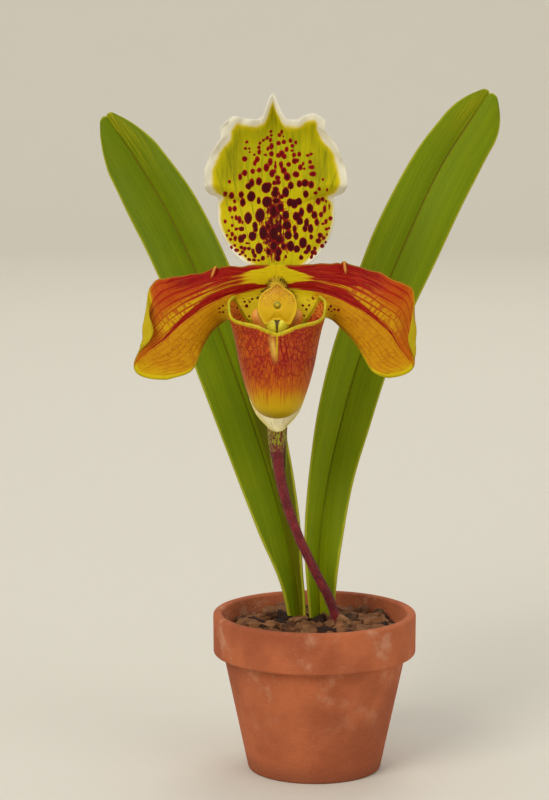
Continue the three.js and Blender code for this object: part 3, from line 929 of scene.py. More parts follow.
@dataclass(frozen=True)
class HoodFinish:
    """Dorsal sepal: yellow-green with maroon spots, a cream band and a broad white margin."""

    name: str
    face: Face
    yellow: str = "bfb004"
    lime: str = "b2a904"
    green: str = "8c9606"
    olive: str = "8a8504"
    vein: str = "6f7410"
    straw: str = "cdb70c"
    cream: str = "e2d484"
    white: str = "e0dbc6"
    smear: str = "8e1608"
    clot: str = "52060c"
    crimson: str = "86060a"
    black: str = "3e0308"
    dull: str = "d5cf8a"

    def make(self) -> Material:
        """Build the material.

        Returns:
            The material.
        """
        r = Recipe(self.name)
        place = r.place()
        tall, lean = r.stored("tall"), r.stored("lean")
        soft = r.noise(place, 160, 3)
        brush = r.noise(r.vector(lean * 9, tall * 1.6), 2, 3, 0.6)
        level = soft * 0.5 + brush * 0.5
        veins = r.stored("spoke").fold().rise(0.08, 0.02) * brush.rise(0.35, 0.6)
        edge = r.stored("white") + r.noise(place, 420).swing(1.1)
        r.ground((tall + level * 0.3).rise(0.45, 0.95), self.yellow, self.lime)
        r.coat(tall.rise(0.35, 0.6) * brush.rise(0.42, 0.62) * 0.6, self.green)
        r.coat(r.stored("olive").rise(0.15, 0.9) * level.rise(0.25, 0.65) * 0.85, self.olive)
        r.coat(veins * 0.5, self.vein)
        r.coat(edge.rise(3, 0.7) * 0.85, self.straw)
        r.coat(edge.rise(1.35, 0.15), self.cream)
        r.coat(edge.rise(0.55, -0.45), self.white)
        spot = r.stored("spot")
        if self.face is Face.BACK:
            r.coat(0.2, self.dull)
            r.coat(spot.rise(0.25, -0.3) * 0.22, self.crimson)
            return r.finish(0.52, r.relief(veins, 0.25), shine=0.08)
        spot = spot + r.noise(place, 900).swing(0.55)
        dark = r.stored("dark") + spot * -1.1 + soft.swing(0.6)
        strand = r.noise(r.vector(lean * 15, tall * 3.4), 2, 4, 0.7).rise(0.36, 0.66)
        clump = r.noise(place, 430, 3, 0.65).rise(0.4, 0.64)
        smear = r.stored("blush") * (strand * 0.5 + clump * 0.58 + 0.06)
        r.coat(smear.rise(0.3, 0.46) * 0.92, self.smear)
        r.coat(smear.rise(0.5, 0.74), self.clot)
        r.coat(spot.rise(0.27, 0.07), r.blend(dark.rise(0.25, 1.05), self.crimson, self.black))
        return r.finish(0.52, r.relief(spot.rise(0.3, -0.4), 0.12, r.relief(veins, 0.15)), shine=0.08)


@dataclass(frozen=True)
class CreamFinish:
    """Synsepal: cream with fine green veins, a yellow-green edge and a dotted yellow foot."""

    name: str = "synsepal_cream"
    cream: str = "fbf3c8"
    shade: str = "c9c27e"
    vein: str = "c4be66"
    edge: str = "cfbc32"
    yellow: str = "e2c826"
    dot: str = "5e0a10"

    def make(self) -> Material:
        """Build the material.

        Returns:
            The material.
        """
        r = Recipe(self.name)
        soft = r.noise(r.place(), 200, 3)
        veins = (r.chart("UVMap")[0] * 15).fold().rise(0.16, 0.03) * soft.rise(0.35, 0.6)
        r.ground(soft.rise(0.4, 0.75) * 0.3, self.cream, self.shade)
        r.coat(veins * 0.6, self.vein)
        r.coat(r.stored("rim").rise(1.3, 0.2) * 0.45, self.edge)
        dotted = r.blend(r.cells(r.place(), 620).rise(0.34, 0.2), self.yellow, self.dot)
        r.coat(r.stored("foot"), dotted)
        return r.finish(0.5, r.relief(veins, 0.15), shine=0.16)


@dataclass(frozen=True)
class PetalFinish:
    """Petal: crimson streaks over amber, netted with fine veins, with a lemon tip and rim."""

    name: str
    face: Face
    amber: str = "c08604"
    gold: str = "c69a04"
    yellow: str = "cdb404"
    mouth: str = "f8e22c"
    orange: str = "b86204"
    flame: str = "ae3c06"
    brown: str = "6b4a06"
    umber: str = "8f4304"
    rust: str = "a04a06"
    red: str = "9a1206"
    crimson: str = "7e0204"
    ember: str = "b23a0a"
    lemon: str = "c9b008"
    crease: str = "cc8c3a"
    fold: str = "6e4006"
    rim: str = "a8980c"
    spot: str = "7c060c"
    dull: str = "a08e20"

    def make(self) -> Material:
        """Build the material.

        Returns:
            The material.
        """
        r = Recipe(self.name)
        place = r.place()
        cross, along = r.chart("vein")
        soft, fine = r.noise(place, 190, 3), r.noise(place, 700)
        brush = r.noise(r.vector(cross * 2.6, along * 2.6), 2.4, 4, 0.66)
        r.ground((r.stored("gold") + brush * 0.5).rise(0.4, 1), self.amber, self.gold)
        r.coat((r.stored("yellow") + brush * 0.5).rise(0.55, 1), self.yellow)
        # Painted light: the yellow base beside the pouch is made paler and brighter than its own colour, to
        # lift the shade in the hollow there.
        r.coat(r.stored("mouth") * 0.9, self.mouth)
        r.coat((r.stored("orange") + brush.swing(0.9)).rise(0.2, 0.85), self.orange)
        r.coat((r.stored("hot") + brush.swing(1.1)).rise(0.25, 0.9) * 0.85, self.flame)
        # Painted shade: brown darkens the lower margin where it lies beside the pouch.
        r.coat((r.stored("brown") + fine.swing(0.5)).rise(0.2, 1) * 0.6, self.brown)
        mesh = r.edges(r.wobble(r.vector(cross * 1.25, along * 17), 1, 0.45), 1)
        mesh = mesh.rise(0.07, 0.015) * soft.rise(0.38, 0.6)
        r.coat(mesh * r.stored("mesh"), self.umber)
        drift = cross + r.noise(r.vector(cross, along * 4, 3), 1.3).swing(0.75)
        line, row = drift.fold(), r.maths("FLOOR", drift)
        r.coat(line.rise(0.17, 0.04) * brush.rise(0.36, 0.56) * r.stored("faint"), self.rust)
        wide = r.stored("bold") * 0.16 + 0.045 + brush.swing(0.12)
        vein = r.maths("DIVIDE", line, wide).rise(2, 0.4)
        jitter = r.noise(r.vector(row * 3.7, along * 9), 1) * 6
        steps = along * 29 + row * 0.41 + jitter + drift * 0.3 + soft * 1.4
        broken = r.noise(r.vector(row * 2.3, along * 16), 1.7).rise(0.34, 0.6)
        rung = steps.fold().rise(0.38, 0.08) * r.stored("rungs") * broken
        net = r.maths("MAXIMUM", vein * r.stored("veins"), rung * 0.68)
        r.coat(net, self.red)
        strand = r.noise(r.vector(cross * 1.9, along * 3.1, 7), 2.4, 4, 0.66)
        deep = r.blend((brush + fine * 0.3).rise(0.55, 0.78), self.crimson, self.red)
        deep = r.blend(strand.rise(0.5, 0.68) * 0.75, deep, self.ember)
        r.coat((r.stored("red") + brush.swing(1) + vein * 0.12).rise(0.36, 0.64), deep)
        r.coat(r.stored("lemon").rise(0.2, 0.75), self.lemon)
        r.coat(r.stored("crease").rise(0.2, 0.8), self.crease)
        # Painted shade: dark brown on the inner side of the rolled margin and just beside the crease.
        r.coat(r.stored("fold").rise(0.15, 0.9) * 0.6, self.fold)
        r.coat(r.stored("rim").rise(0.8, 0.35) * r.stored("rimmed"), self.rim)
        if self.face is Face.FRONT:
            dots = r.stored("spot") + r.noise(place, 1100).swing(0.4)
            r.coat(dots.rise(0.16, -0.06), self.spot)
        else:
            r.coat(0.4, self.dull)
        normal = r.relief(r.maths("MAXIMUM", net, mesh * 0.6), -0.14, r.relief(brush, 0.14))
        return r.finish(soft * 0.14 + 0.5, normal, shine=0.09)


@dataclass(frozen=True)
class PouchFinish:
    """Pouch: crimson net veins on orange, clear ochre at the toe; dotted and golden inside."""

    name: str
    face: Face
    orange: str = "bd6806"
    ochre: str = "c09c02"
    olive: str = "7c6e04"
    brick: str = "ab3a10"
    crimson: str = "850c10"
    # pale: the painted highlight beside the front crease
    pale: str = "dcb248"
    drip: str = "9c2a0e"
    rim: str = "c2a80e"
    golden: str = "d8c022"
    # peach and coral: the ears' own colour, set brighter as painted light against the shade inside
    peach: str = "ee8a2c"
    coral: str = "e0622a"
    dot: str = "8a120e"

    def make(self) -> Material:
        """Build the material.

        Returns:
            The material.
        """
        r = Recipe(self.name)
        place = r.place()
        angle, height = r.chart("girth")
        soft, fine = r.noise(place, 150, 3), r.noise(place, 520, 3)
        net_x, net_y = r.chart("net")
        wander = r.wobble(r.wobble(r.vector(net_x, net_y), 0.9, 0.4), 3.5, 0.1)
        net = (r.edges(wander, 1.6) + fine.swing(0.16)).rise(0.12, 0)
        net = net * (height + fine * 8).rise(166, 178)
        below = r.stored("lip") + fine.swing(1.2)
        if self.face is Face.FRONT:
            high = (height + soft.swing(9)).rise(162, 178)
            grain = r.noise(r.vector(net_x * 2.6, net_y * 2), 1, 3, 0.7)
            middle = angle.size().rise(74, 30) * 0.5 + 0.5
            mottle = (grain + soft * 0.4).rise(0.52, 0.82) * 0.38 + 0.62
            r.ground((height + soft * 3).rise(170, 160), self.orange, self.ochre)
            r.coat(height.rise(159, 153.6) * 0.6, self.olive)
            r.coat(high * middle * mottle, self.brick)
            r.coat(net * 0.85, self.crimson)
            small = r.edges(wander, 3.4).rise(0.16, 0.02)
            r.coat(small * high * soft.rise(0.42, 0.58) * 0.55, self.crimson)
            r.coat(grain.rise(0.52, 0.72) * high * 0.4, self.crimson)
            ray = r.noise(r.vector(angle * 0.26 + height * 0.16, height * 0.07), 1.6, 3, 0.6)
            fan = ray.rise(0.42, 0.58) * angle.near(12, 24) * height.rise(171, 180)
            r.coat(fan * 0.9, self.crimson)
            # Painted highlight: a pale wedge left of the front crease.
            leaning = angle + fine * 3 + (height - 178) * 0.45
            r.coat(leaning.near(-1.6, 7.5) * height.near(182.5, 7.5) * 0.9, self.pale)
            drips = r.noise(r.vector(net_x * 4.2, height * 0.09), 1, 3, 0.6).rise(0.5, 0.62)
            r.coat(drips * height.near(167.5, 11) * 0.85, self.drip)
            r.coat(angle.near(0, 1.9) * height.rise(176.5, 182), self.rim)
            r.coat(below.rise(1.3, 0.2), self.rim)
        else:
            # The ears' insides are their own peach and coral, set brighter as painted light that lifts the
            # shade inside the pouch.
            side = angle.size().rise(44, 66) * angle.size().rise(150, 138)
            r.ground(side, self.golden, r.blend(soft.rise(0.35, 0.65), self.peach, self.coral))
            dots = r.cells(r.wobble(place, 400, 0.6 * MM), 950) + side * -0.12
            r.coat(dots.rise(0.34, 0.16) * 0.9, self.dot)
            r.coat(below.rise(1.5, 0.6), self.rim)
        return r.finish(soft * 0.16 + 0.38, r.relief(net, 0.18, r.relief(fine, 0.12)), shine=0.14)


@dataclass(frozen=True)
class ShieldFinish:
    """Golden staminode with a rosy, speckled head and an olive boss."""

    name: str = "staminode_yellow"
    gold: str = "dcb004"
    amber: str = "d09a04"
    rose: str = "b87420"
    speck: str = "7a2c1c"
    lemon: str = "e6cb1c"
    umber: str = "7e5206"
    olive: str = "8a8410"
    boss: str = "c2b030"

    def make(self) -> Material:
        """Build the material.

        Returns:
            The material.
        """
        r = Recipe(self.name)
        place = r.place()
        across, up = r.chart("shield")
        soft = r.noise(place, 300, 3)
        r.ground((up * 0.06 + soft).rise(0.35, 0.95), self.gold, self.amber)
        r.coat((up + soft * 3).rise(4.6, 8.6) * 0.5, self.rose)
        specks = r.cells(r.wobble(place, 900, 0.3 * MM), 2300).rise(0.42, 0.2)
        downy = (up + across.size() * 0.35 + soft * 4).rise(2, 7)
        r.coat(specks * downy * 0.95, self.speck)
        edge = r.stored("edge")
        r.coat(edge.near(0.95, 0.05) * 0.75, self.lemon)
        r.coat(edge.rise(0.975, 1) * 0.75, self.umber)
        away = r.maths("SQRT", across * across + up * up)
        r.coat(away.near(1.1, 0.75), self.olive)
        r.coat(away.rise(0.6, 0.15), self.boss)
        return r.finish(0.42, r.relief(r.noise(place, 900), 0.08), shine=0.32)


@dataclass(frozen=True)
class StigmaFinish:
    """Pale yellow-green stigma, brightened as painted light under the shield, with a slit darkened as
    painted shade.
    """

    name: str = "stigma_pale"
    pale: str = "f4e83c"
    green: str = "cfc424"
    slit: str = "5c4a10"

    def make(self) -> Material:
        """Build the material.

        Returns:
            The material.
        """
        r = Recipe(self.name)
        # Painted light: the pale yellow-green is set brighter than its own colour, to lift the shade cast
        # by the shield.
        r.ground(r.noise(r.place(), 400).rise(0.4, 0.7), self.pale, self.green)
        # Painted shade: the slit is darkened like a recess.
        r.coat(r.stored("slit").rise(0.25, 0.7), self.slit)
        return r.finish(0.4, shine=0.35)


@dataclass(frozen=True)
class ClayFinish:
    """Fired clay with a pale bloom, damp marks near the foot and fine grit."""

    name: str = "clay"
    clay: str = "b8663f"
    fired: str = "9c5233"
    bloom: str = "d2a98b"
    damp: str = "7d4630"
    grit: str = "6b3a26"
    chalk: str = "d8b193"

    def make(self) -> Material:
        """Build the material.

        Returns:
            The material.
        """
        r = Recipe(self.name)
        place = r.place()
        around_pot, height = r.chart("wall")
        cloud = r.noise(place, 28, 4, 0.6)
        grit = r.noise(place, 1300, 3, 0.7)
        rings = r.noise(r.vector(around_pot * 0.6, height * 0.9), 1, 3)
        salts = r.noise(place, 75, 5, 0.68).rise(0.52, 0.72) * height.rise(12, 46)
        r.ground(cloud.rise(0.35, 0.65), self.clay, self.fired)
        r.coat(salts * 0.38, self.bloom)
        r.coat((height + cloud * 16).rise(17, 9) * 0.55, self.damp)
        r.coat(grit.rise(0.62, 0.75) * 0.35, self.grit)
        r.coat(grit.rise(0.36, 0.26) * 0.35, self.chalk)
        return r.finish(salts * 0.15 + 0.78, r.relief(grit, 0.16, r.relief(rings, 0.35)), shine=0.2)


@dataclass(frozen=True)
class BarkFinish:
    """Weathered bark: layered brown with pale inner wood."""

    name: str = "bark_chips"
    dark: str = "3a2317"
    brown: str = "6b4429"
    pale: str = "a67a4e"
    tan: str = "8a5b38"
    shade: str = "2b1a12"

    def make(self) -> Material:
        """Build the material.

        Returns:
            The material.
        """
        r = Recipe(self.name)
        place, tone = r.place(), r.stored("tone")
        leaning = r.node("Mapping", {"Vector": place, "Rotation": (0.5, 0.3, 0.6), "Scale": (1, 1, 5)})
        cloud, layers = r.noise(place, 90, 4, 0.6), r.noise(leaning, 260, 5, 0.65)
        r.ground(layers.rise(0.36, 0.62), self.dark, self.brown)
        r.coat(cloud.rise(0.5, 0.72) * 0.8, self.pale)
        r.coat(tone * 0.75, self.tan)
        # The darkest tones get the shade colour: painted shade on the bed under the chips, and a random
        # dark tone on some chips.
        r.coat(tone.rise(0.3, 0), self.shade)
        return r.finish(0.85, r.relief(layers, 0.5, r.relief(cloud, 0.4)), shine=0.15)


@dataclass(frozen=True)
class PaperFinish:
    """Matt studio paper with a faint tooth."""

    name: str = "studio_paper"
    paper: str = "dcd6c8"
    tooth: str = "c9c2b0"

    def make(self) -> Material:
        """Build the material.

        Returns:
            The material.
        """
        r = Recipe(self.name)
        tooth = r.noise(r.place(), 700)
        r.ground(tooth * 0.06, self.paper, self.tooth)
        return r.finish(0.9, r.relief(tooth, 0.03), shine=0.1)


WAX = dict(scale=240, span=(0.42, 0.75), detail=3, roughness=0.45, depth=0.15, shine=0.3)
LIP = CloudFinish("pouch_lip", "cbb410", "ada40c", 260, (0.4, 0.65), roughness=0.42, depth=0.1, shine=0.3)
TRUNK = CloudFinish("column_trunk", "dcc024", "c48a34", **WAX)
ANTHER = CloudFinish("anther_peach", "eca23e", "c87026", **WAX)
ROOT = CloudFinish("root_tissue", "6e5335", "b39a6c", 700, (0.35, 0.7), 4, 0.7, 0.85, 0.3, 0.15, 0.3)
STEM_HAIR = CloudFinish("stem_hair", "5a1a26", "9a5a5e")
OVARY_HAIR = CloudFinish("ovary_hair", "6e2a24", "8c8430")
WHISKER = CloudFinish("whisker", "3c1408", "6a3410")


def dress(piece: Mesh, *materials: Material) -> None:
    """Put materials in a piece's slots, in order.

    Args:
        piece: Piece to dress.
        materials: Its materials, or one for all the slots that it has.
    """
    for slot in piece.material_slots:
        slot.material = materials[0]
    if not piece.material_slots:
        for material in materials:
            piece.data.materials.append(material)


def hand_over(
    piece: Mesh, slot: str, *nodes: str, finish: Material | None = None
) -> None:
    """Let a piece ride on the plant, in place of CAD nodes.

    Args:
        piece: Piece to hand over.
        slot: The record's material slot; not used.
        nodes: CAD nodes that it stands for.
        finish: Its material, or none when it is dressed.
    """
    if finish is not None:
        dress(piece, finish)
    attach(piece, "root")
    if nodes:
        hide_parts(*nodes)
    log.info("%s: %d faces", piece.name, len(piece.data.polygons))


# The pot and its bark


@dataclass
class ClayPot:
    """Plain clay pot with a collar, a flat foot and four drainage holes."""

    height: float = 66.0
    foot_radius: float = 27.5
    collar_radius: float = 42.0
    collar_height: float = 17.0
    wall: float = 3.8
    floor: float = 5.0
    hole_radius: float = 3.5
    hole_ring: float = 15.0
    out_of_true: float = 0.0012
    corner_steps: int = 7
    row_height: float = 2.5
    sides: int = 128

    def inside(self, height: Array | float) -> Array | float:
        """Return the radius inside the wall at a height."""
        top, foot = self.collar_radius - self.wall, self.foot_radius - self.wall + 0.6
        return foot + (top - foot) * (height - self.floor) / (self.height - self.floor)

    def profile(self) -> Array:
        """Draw the wall's outline with rounded corners.

        Returns:
            Rows of radius and height, from under the foot to the floor inside.
        """
        under = self.height - self.collar_height
        corners = [
            (0, 0, 0),
            (self.foot_radius, 0, 1),
            (self.inside(under) + self.wall - 0.4, under - 0.6, 0.5),
            (self.collar_radius - 0.1, under, 1.1),
            (self.collar_radius, self.height, 1.6),
            (self.inside(self.height) + 0.1, self.height, 1.3),
            (self.inside(self.floor), self.floor, 2),
            (0, self.floor, 0),
        ]
        points = [np.array(corners[0][:2])]
        for before, here, after in zip(corners, corners[1:], corners[2:]):
            middle = np.array(here[:2])
            start = middle + unit(np.array(before[:2]) - middle) * here[2]
            end = middle + unit(np.array(after[:2]) - middle) * here[2]
            for t in even_spread(self.corner_steps):
                points.append((1 - t) ** 2 * start + 2 * t * (1 - t) * middle + t**2 * end)
        points.append(np.array(corners[-1][:2]))
        dense = points[:1]
        for first, second in zip(points, points[1:]):
            steps = max(1, int(np.linalg.norm(second - first) / self.row_height))
            dense += [first + (second - first) * k / steps for k in range(1, steps + 1)]
        return np.array(dense)

    def build(self) -> None:
        """Turn the pot, drill its holes and dress it."""
        outline = self.profile()
        steps = len(outline) - 1

        def surface(u: Array, v: Array) -> Array:
            """Turn the outline round the axis, a little out of true.

            Args:
                u: Share of the turn, -1 to 1.
                v: Share of the outline.

            Returns:
                One point for each pair.
            """
            radius, height = outline[np.round(v * steps).astype(int)].T
            wobble = np.sin(2 * math.pi * u + 1) * ease(4, 40, height)
            return spun(radius * (1 + self.out_of_true * wobble), u, height)

        pot, u, v = lay_grid("pot_clay", self.sides, steps, surface)
        store_chart(pot, "wall", 180 * u, outline[np.round(v * steps).astype(int), 1])
        weld(pot)
        self.drill(pot)
        choose(pot)
        bpy.ops.object.shade_smooth_by_angle(angle=math.radians(50))
        hand_over(pot, "clay", "pot", finish=ClayFinish().make())

    def drill(self, pot: Mesh) -> None:
        """Drill the four drainage holes through the floor.

        Args:
            pot: The pot.
        """
        for angle in (0, math.pi / 2, math.pi, 3 * math.pi / 2):
            clear_choice()
            x, y = self.hole_ring * math.cos(angle), self.hole_ring * math.sin(angle)
            bpy.ops.mesh.primitive_cylinder_add(
                vertices=28,
                radius=self.hole_radius * MM,
                depth=2.4 * self.floor * MM,
                location=(x * MM, y * MM, self.floor / 2 * MM),
            )
            drill = bpy.context.object
            apply_modifier(pot, "BOOLEAN", operation="DIFFERENCE", solver="EXACT", object=drill)
            bpy.data.objects.remove(drill)


@dataclass
class BarkBed:
    """Bed of bark that fills the pot, under a layer of loose chips."""

    pot: ClayPot
    edge_height: float = 56.5
    dome_height: float = 60.5
    sunk: float = 1.2
    chips: int = 190
    patterns: int = 7
    sides: int = 64
    steps: int = 64
    seed: int = 11
    keep_clear: Rows = ((-5.6, 7.0, 5.0), (3.2, 6.6, 7.0), (9.8, -5.4, 3.0))

    def height(self, distance: Array | float) -> Array | float:
        """Return the bed's height at a distance from the axis."""
        share = distance / self.pot.inside(self.edge_height)
        return self.dome_height + (self.edge_height - self.dome_height) * share * share

    def build(self) -> None:
        """Make the bed and its chips."""
        finish = BarkFinish().make()
        self.build_bed(finish)
        self.build_chips(finish)

    def build_bed(self, finish: Material) -> None:
        """Make the bed under the chips, which fills the pot.

        Args:
            finish: Its material.
        """
        foot = self.pot.floor + 0.3
        bumps = np.random.default_rng(self.seed).normal(0, 0.5, (self.steps + 1, self.sides + 1))

        def surface(u: Array, v: Array) -> Array:
            """Follow the pot's inside up, then the rough dome inwards.

            Args:
                u: Share of the turn, -1 to 1.
                v: Share of the way from the floor's middle to the dome's middle.

            Returns:
                One point for each pair.
            """
            side = np.clip(v / 0.45, 0, 1)
            inwards = np.clip((v - 0.45) / 0.55, 0, 1)
            height = foot + (self.edge_height - self.sunk - foot) * side
            radius = (self.pot.inside(height) - 0.4) * np.where(v < 1e-6, 0, 1) * (1 - inwards)
            row = np.round(v * self.steps).astype(int)
            rough = bumps[row, np.round((u + 1) * self.sides / 2).astype(int) % self.sides]
            rough = rough * ease(0, 0.1, inwards) * ease(1, 0.9, inwards)
            return spun(radius, u, np.where(inwards > 0, self.height(radius) - self.sunk + rough, height))

        bed, _, v = lay_grid("bark_bed", self.sides, self.steps, surface)
        # Painted shade: the bed takes the lowest tone, so it is painted the near-black shade colour that
        # stands for the gaps between the chips.
        store_fields(bed, tone=np.full(len(v), 0.05))
        weld(bed)
        hand_over(bed, "bark_chips", "bark", finish=finish)

    def shape_patterns(self) -> list[Shape]:
        """Shape a few chips, each from a box, to be copied.

        Returns:
            Points and faces of each.
        """
        random = np.random.default_rng(self.seed + 1)
        made = []
        for _ in range(self.patterns):
            clear_choice()
            bpy.ops.mesh.primitive_cube_add(size=1)
            box = bpy.context.object
            edit(box, lambda: bpy.ops.mesh.subdivide(number_cuts=2, smoothness=0.15))
            points = places_of(box)
            points *= 1 - 0.22 * (np.abs(points).min(axis=1, keepdims=True) > 0.3)
            points += random.normal(0, 0.055, points.shape)
            points[:, 2] += 0.18 * np.sin(3 * points[:, 0] + random.random())
            points[:, 1] *= 1 - 0.35 * points[:, 0] * random.random()
            made.append((points, [tuple(face.vertices) for face in box.data.polygons]))
            bpy.data.objects.remove(box)
        return made

    def build_chips(self, finish: Material) -> None:
        """Scatter the chips over the bed, in rows that turn by the golden angle.

        Args:
            finish: Their material.
        """
        random = np.random.default_rng(self.seed + 2)
        patterns = self.shape_patterns()
        room = self.pot.inside(self.edge_height)
        golden_angle = 2.39996
        shapes, tones = [], []
        for k in range(self.chips):
            distance = (room - 3.4) * math.sqrt((k + 0.5) / self.chips)
            angle = golden_angle * k + 0.5 * random.random()
            middle = np.array([distance * math.cos(angle), distance * math.sin(angle)])
            size = random.uniform([6.5, 4.5, 2], [12.5, 8, 4])
            turns = random.uniform([-0.5, -0.5, 0], [0.5, 0.5, 2 * math.pi])
            lift = random.uniform(-0.4, 1.9)
            tone = random.random()
            if any(math.hypot(middle[0] - x, middle[1] - y) < clear for x, y, clear in self.keep_clear):
                continue
            points, faces = patterns[k % len(patterns)]
            points = (points * size) @ rotation(turns).T
            reach = np.hypot(points[:, 0] + middle[0], points[:, 1] + middle[1]).max()
            middle = middle * (1 - max(0, reach - room + 0.6) / max(distance, 1))
            shapes.append((points + np.array([*middle, self.height(distance) + lift]), faces))
            tones.append(np.full(len(points), tone))
        chips = join_copies("bark_chips_loose", shapes)
        store_fields(chips, tone=np.concatenate(tones))
        choose(chips)
        bpy.ops.object.shade_smooth_by_angle(angle=math.radians(32))
        hand_over(chips, "bark_chips", finish=finish)


def rotation(turns: Array) -> Array:
    """Work out the matrix that turns about X, then Y, then Z.

    Args:
        turns: The three angles.

    Returns:
        The matrix.
    """
    (cx, cy, cz), (sx, sy, sz) = np.cos(turns), np.sin(turns)
    about_x = np.array([[1, 0, 0], [0, cx, -sx], [0, sx, cx]])
    about_y = np.array([[cy, 0, sy], [0, 1, 0], [-sy, 0, cy]])
    about_z = np.array([[cz, -sz, 0], [sz, cz, 0], [0, 0, 1]])
    return about_z @ about_y @ about_x


# Leaves


@dataclass
class StrapLeaf:
    """Strap leaf folded along its midrib, with a two-lobed tip.

    Its rows hold a point of the midrib, the two half widths there and the fold in degrees.
    """

    node: str
    rows: Rows
    shade: Triple
    gold_side: float
    tones: tuple[str, str]
    length: float = 245.0
    thickness: float = 2.0
    edge: float = 0.8
    keel: float = 1.1
    taper: float = 0.87
    tip_share: float = 0.11
    notch: float = 1.6
    crowding: float = 1.35
    across: int = 40
    along: int = 210

    def half_width(self, u: Array, v: Array) -> tuple[Array, Array, Array]:
        """Measure the blade.

        Args:
            u: Share of the half width, negative on the left.
            v: Share of the length, from the foot.

        Returns:
            The half width on that side, the fold in degrees, and how far into the tip the place is.
        """
        left, right, fold = steady(numbered(self.rows, 3), v).T
        into_tip = np.maximum(0, (v - 1 + self.tip_share) / self.tip_share)
        return np.where(u < 0, left, right) * np.sqrt(1 - self.taper * into_tip**1.6), fold, into_tip

    def surface(self, u: Array, v: Array) -> Array:
        """Find points on the middle of the blade.

        Args:
            u: Share of the half width, from -1 at the left margin to 1 at the right one.
            v: Share of the length, from the foot, before the rows crowd at the tip.

        Returns:
            One point for each pair.
        """
        v = 1 - (1 - v) ** self.crowding
        midrib = Line(self.rows)
        along = midrib.along(v)
        right = unit(np.stack([along[:, 2], np.zeros(len(v)), -along[:, 0]], axis=1))
        front = unit(np.cross(along, right))
        front = np.where(front[:, 1:2] > 0, -front, front)
        half, fold, into_tip = self.half_width(u, v)
        out = np.abs(u)
        lift = half * (np.tan(np.radians(fold)) * out + 0.1 * np.sin(math.pi * out))
        lift -= 0.35 * hill(u * half, 0.8)
        lift += 0.35 * np.sin(21 * v + 2 * np.sign(u)) * ease(0.5, 1, out) * ease(0.15, 0.4, v)
        notch = -self.notch * into_tip * hill(u, 0.22) - 2.4 * into_tip * out**2.6
        return midrib.at(v) + right * (u * half)[:, None] + front * lift[:, None] + along * notch[:, None]

    def build(self) -> None:
        """Lay the blade, chart it, give it its thickness and dress it."""
        leaf, u, v = lay_grid(self.node.replace("leaf", "blade"), self.across, self.along, self.surface)
        v = 1 - (1 - v) ** self.crowding
        half = self.half_width(u, v)[0]
        out = np.abs(u)
        margin = (1 - out) * half
        # Painted shade: the shade field marks one half of the blade, over part of its length, for the olive
        # that stands for shade.
        low, high, strength = self.shade
        dark = strength * ease(0, 0.25, u) * ease(low, low + 0.06, v) * ease(high, high - 0.2, v)
        tip = ease(0.82, 0.96, v) * ease(0, 0.15, self.gold_side * u) * ease(0.9, 0.5, out)
        foot = 0.8 * ease(0.22, 0.08, v) * ease(0.6, 0.1, out)
        store_chart(leaf, "leaf", u * half, v * self.length)
        store_fields(
            leaf,
            rim=np.minimum(margin, (1 - v) * self.length),
            shade=dark,
            gold=np.clip(tip + foot, 0, 1),
            ribbed=0.9 * ease(1, 0.9, v) * ease(0.05, 0.2, v),
        )
        turn_towards(leaf, (0, -1, 0))
        body = self.edge + (self.thickness - 0.5 - self.edge) * (1 - u**2)
        shares = np.minimum(body / self.thickness + 0.25 * hill(u * half, self.keel), 1)
        front, back = (LeafFinish(f"{self.node}_{face.value}", face, *self.tones).make() for face in Face)
        thicken(leaf, (front, back, back), self.thickness, shares * (0.5 + 0.5 * ease(0, 0.9, margin)))
        hand_over(leaf, "leaf_green", self.node)


LEFT_LEAF = (
    (-5.3, 6.6, 48.2, 3.2, 2.3, 58),
    (-7.4, 8.9, 75.5, 6.2, 3.1, 52),
    (-12.9, 14.8, 99.5, 10.6, 7.4, 40),
    (-20.2, 22.5, 123.8, 13, 11.2, 30),
    (-28.7, 31, 148.5, 14.3, 14, 25),
    (-38, 39.5, 173.5, 15, 14.3, 22),
    (-48.5, 48, 199.5, 15.3, 14.5, 20),
    (-61.5, 59, 226, 15.4, 14, 18),
    (-75.5, 67.5, 248.5, 13.4, 11.8, 15),
    (-89.6, 72, 268.9, 11, 9.6, 12),
)
RIGHT_LEAF = (
    (3, 6, 48.2, 3.3, 4.2, 56),
    (2, 7.2, 75, 5.1, 6.9, 48),
    (2.6, 10.8, 96.5, 6.8, 9.2, 38),
    (6, 17, 120, 8.5, 10.4, 30),
    (11.7, 23.7, 143.5, 10.9, 12, 25),
    (18.9, 30.2, 167.5, 12.3, 12.8, 22),
    (27.8, 37, 190.8, 13.2, 13.8, 20),
    (38.8, 45, 215.8, 14.4, 15.1, 18),
    (53, 53.5, 245, 13, 15.4, 15),
    (65.4, 59, 264.4, 10.8, 14, 13),
    (75.6, 62, 279.1, 9.6, 14, 12),
)


# Stem, bract and ovary


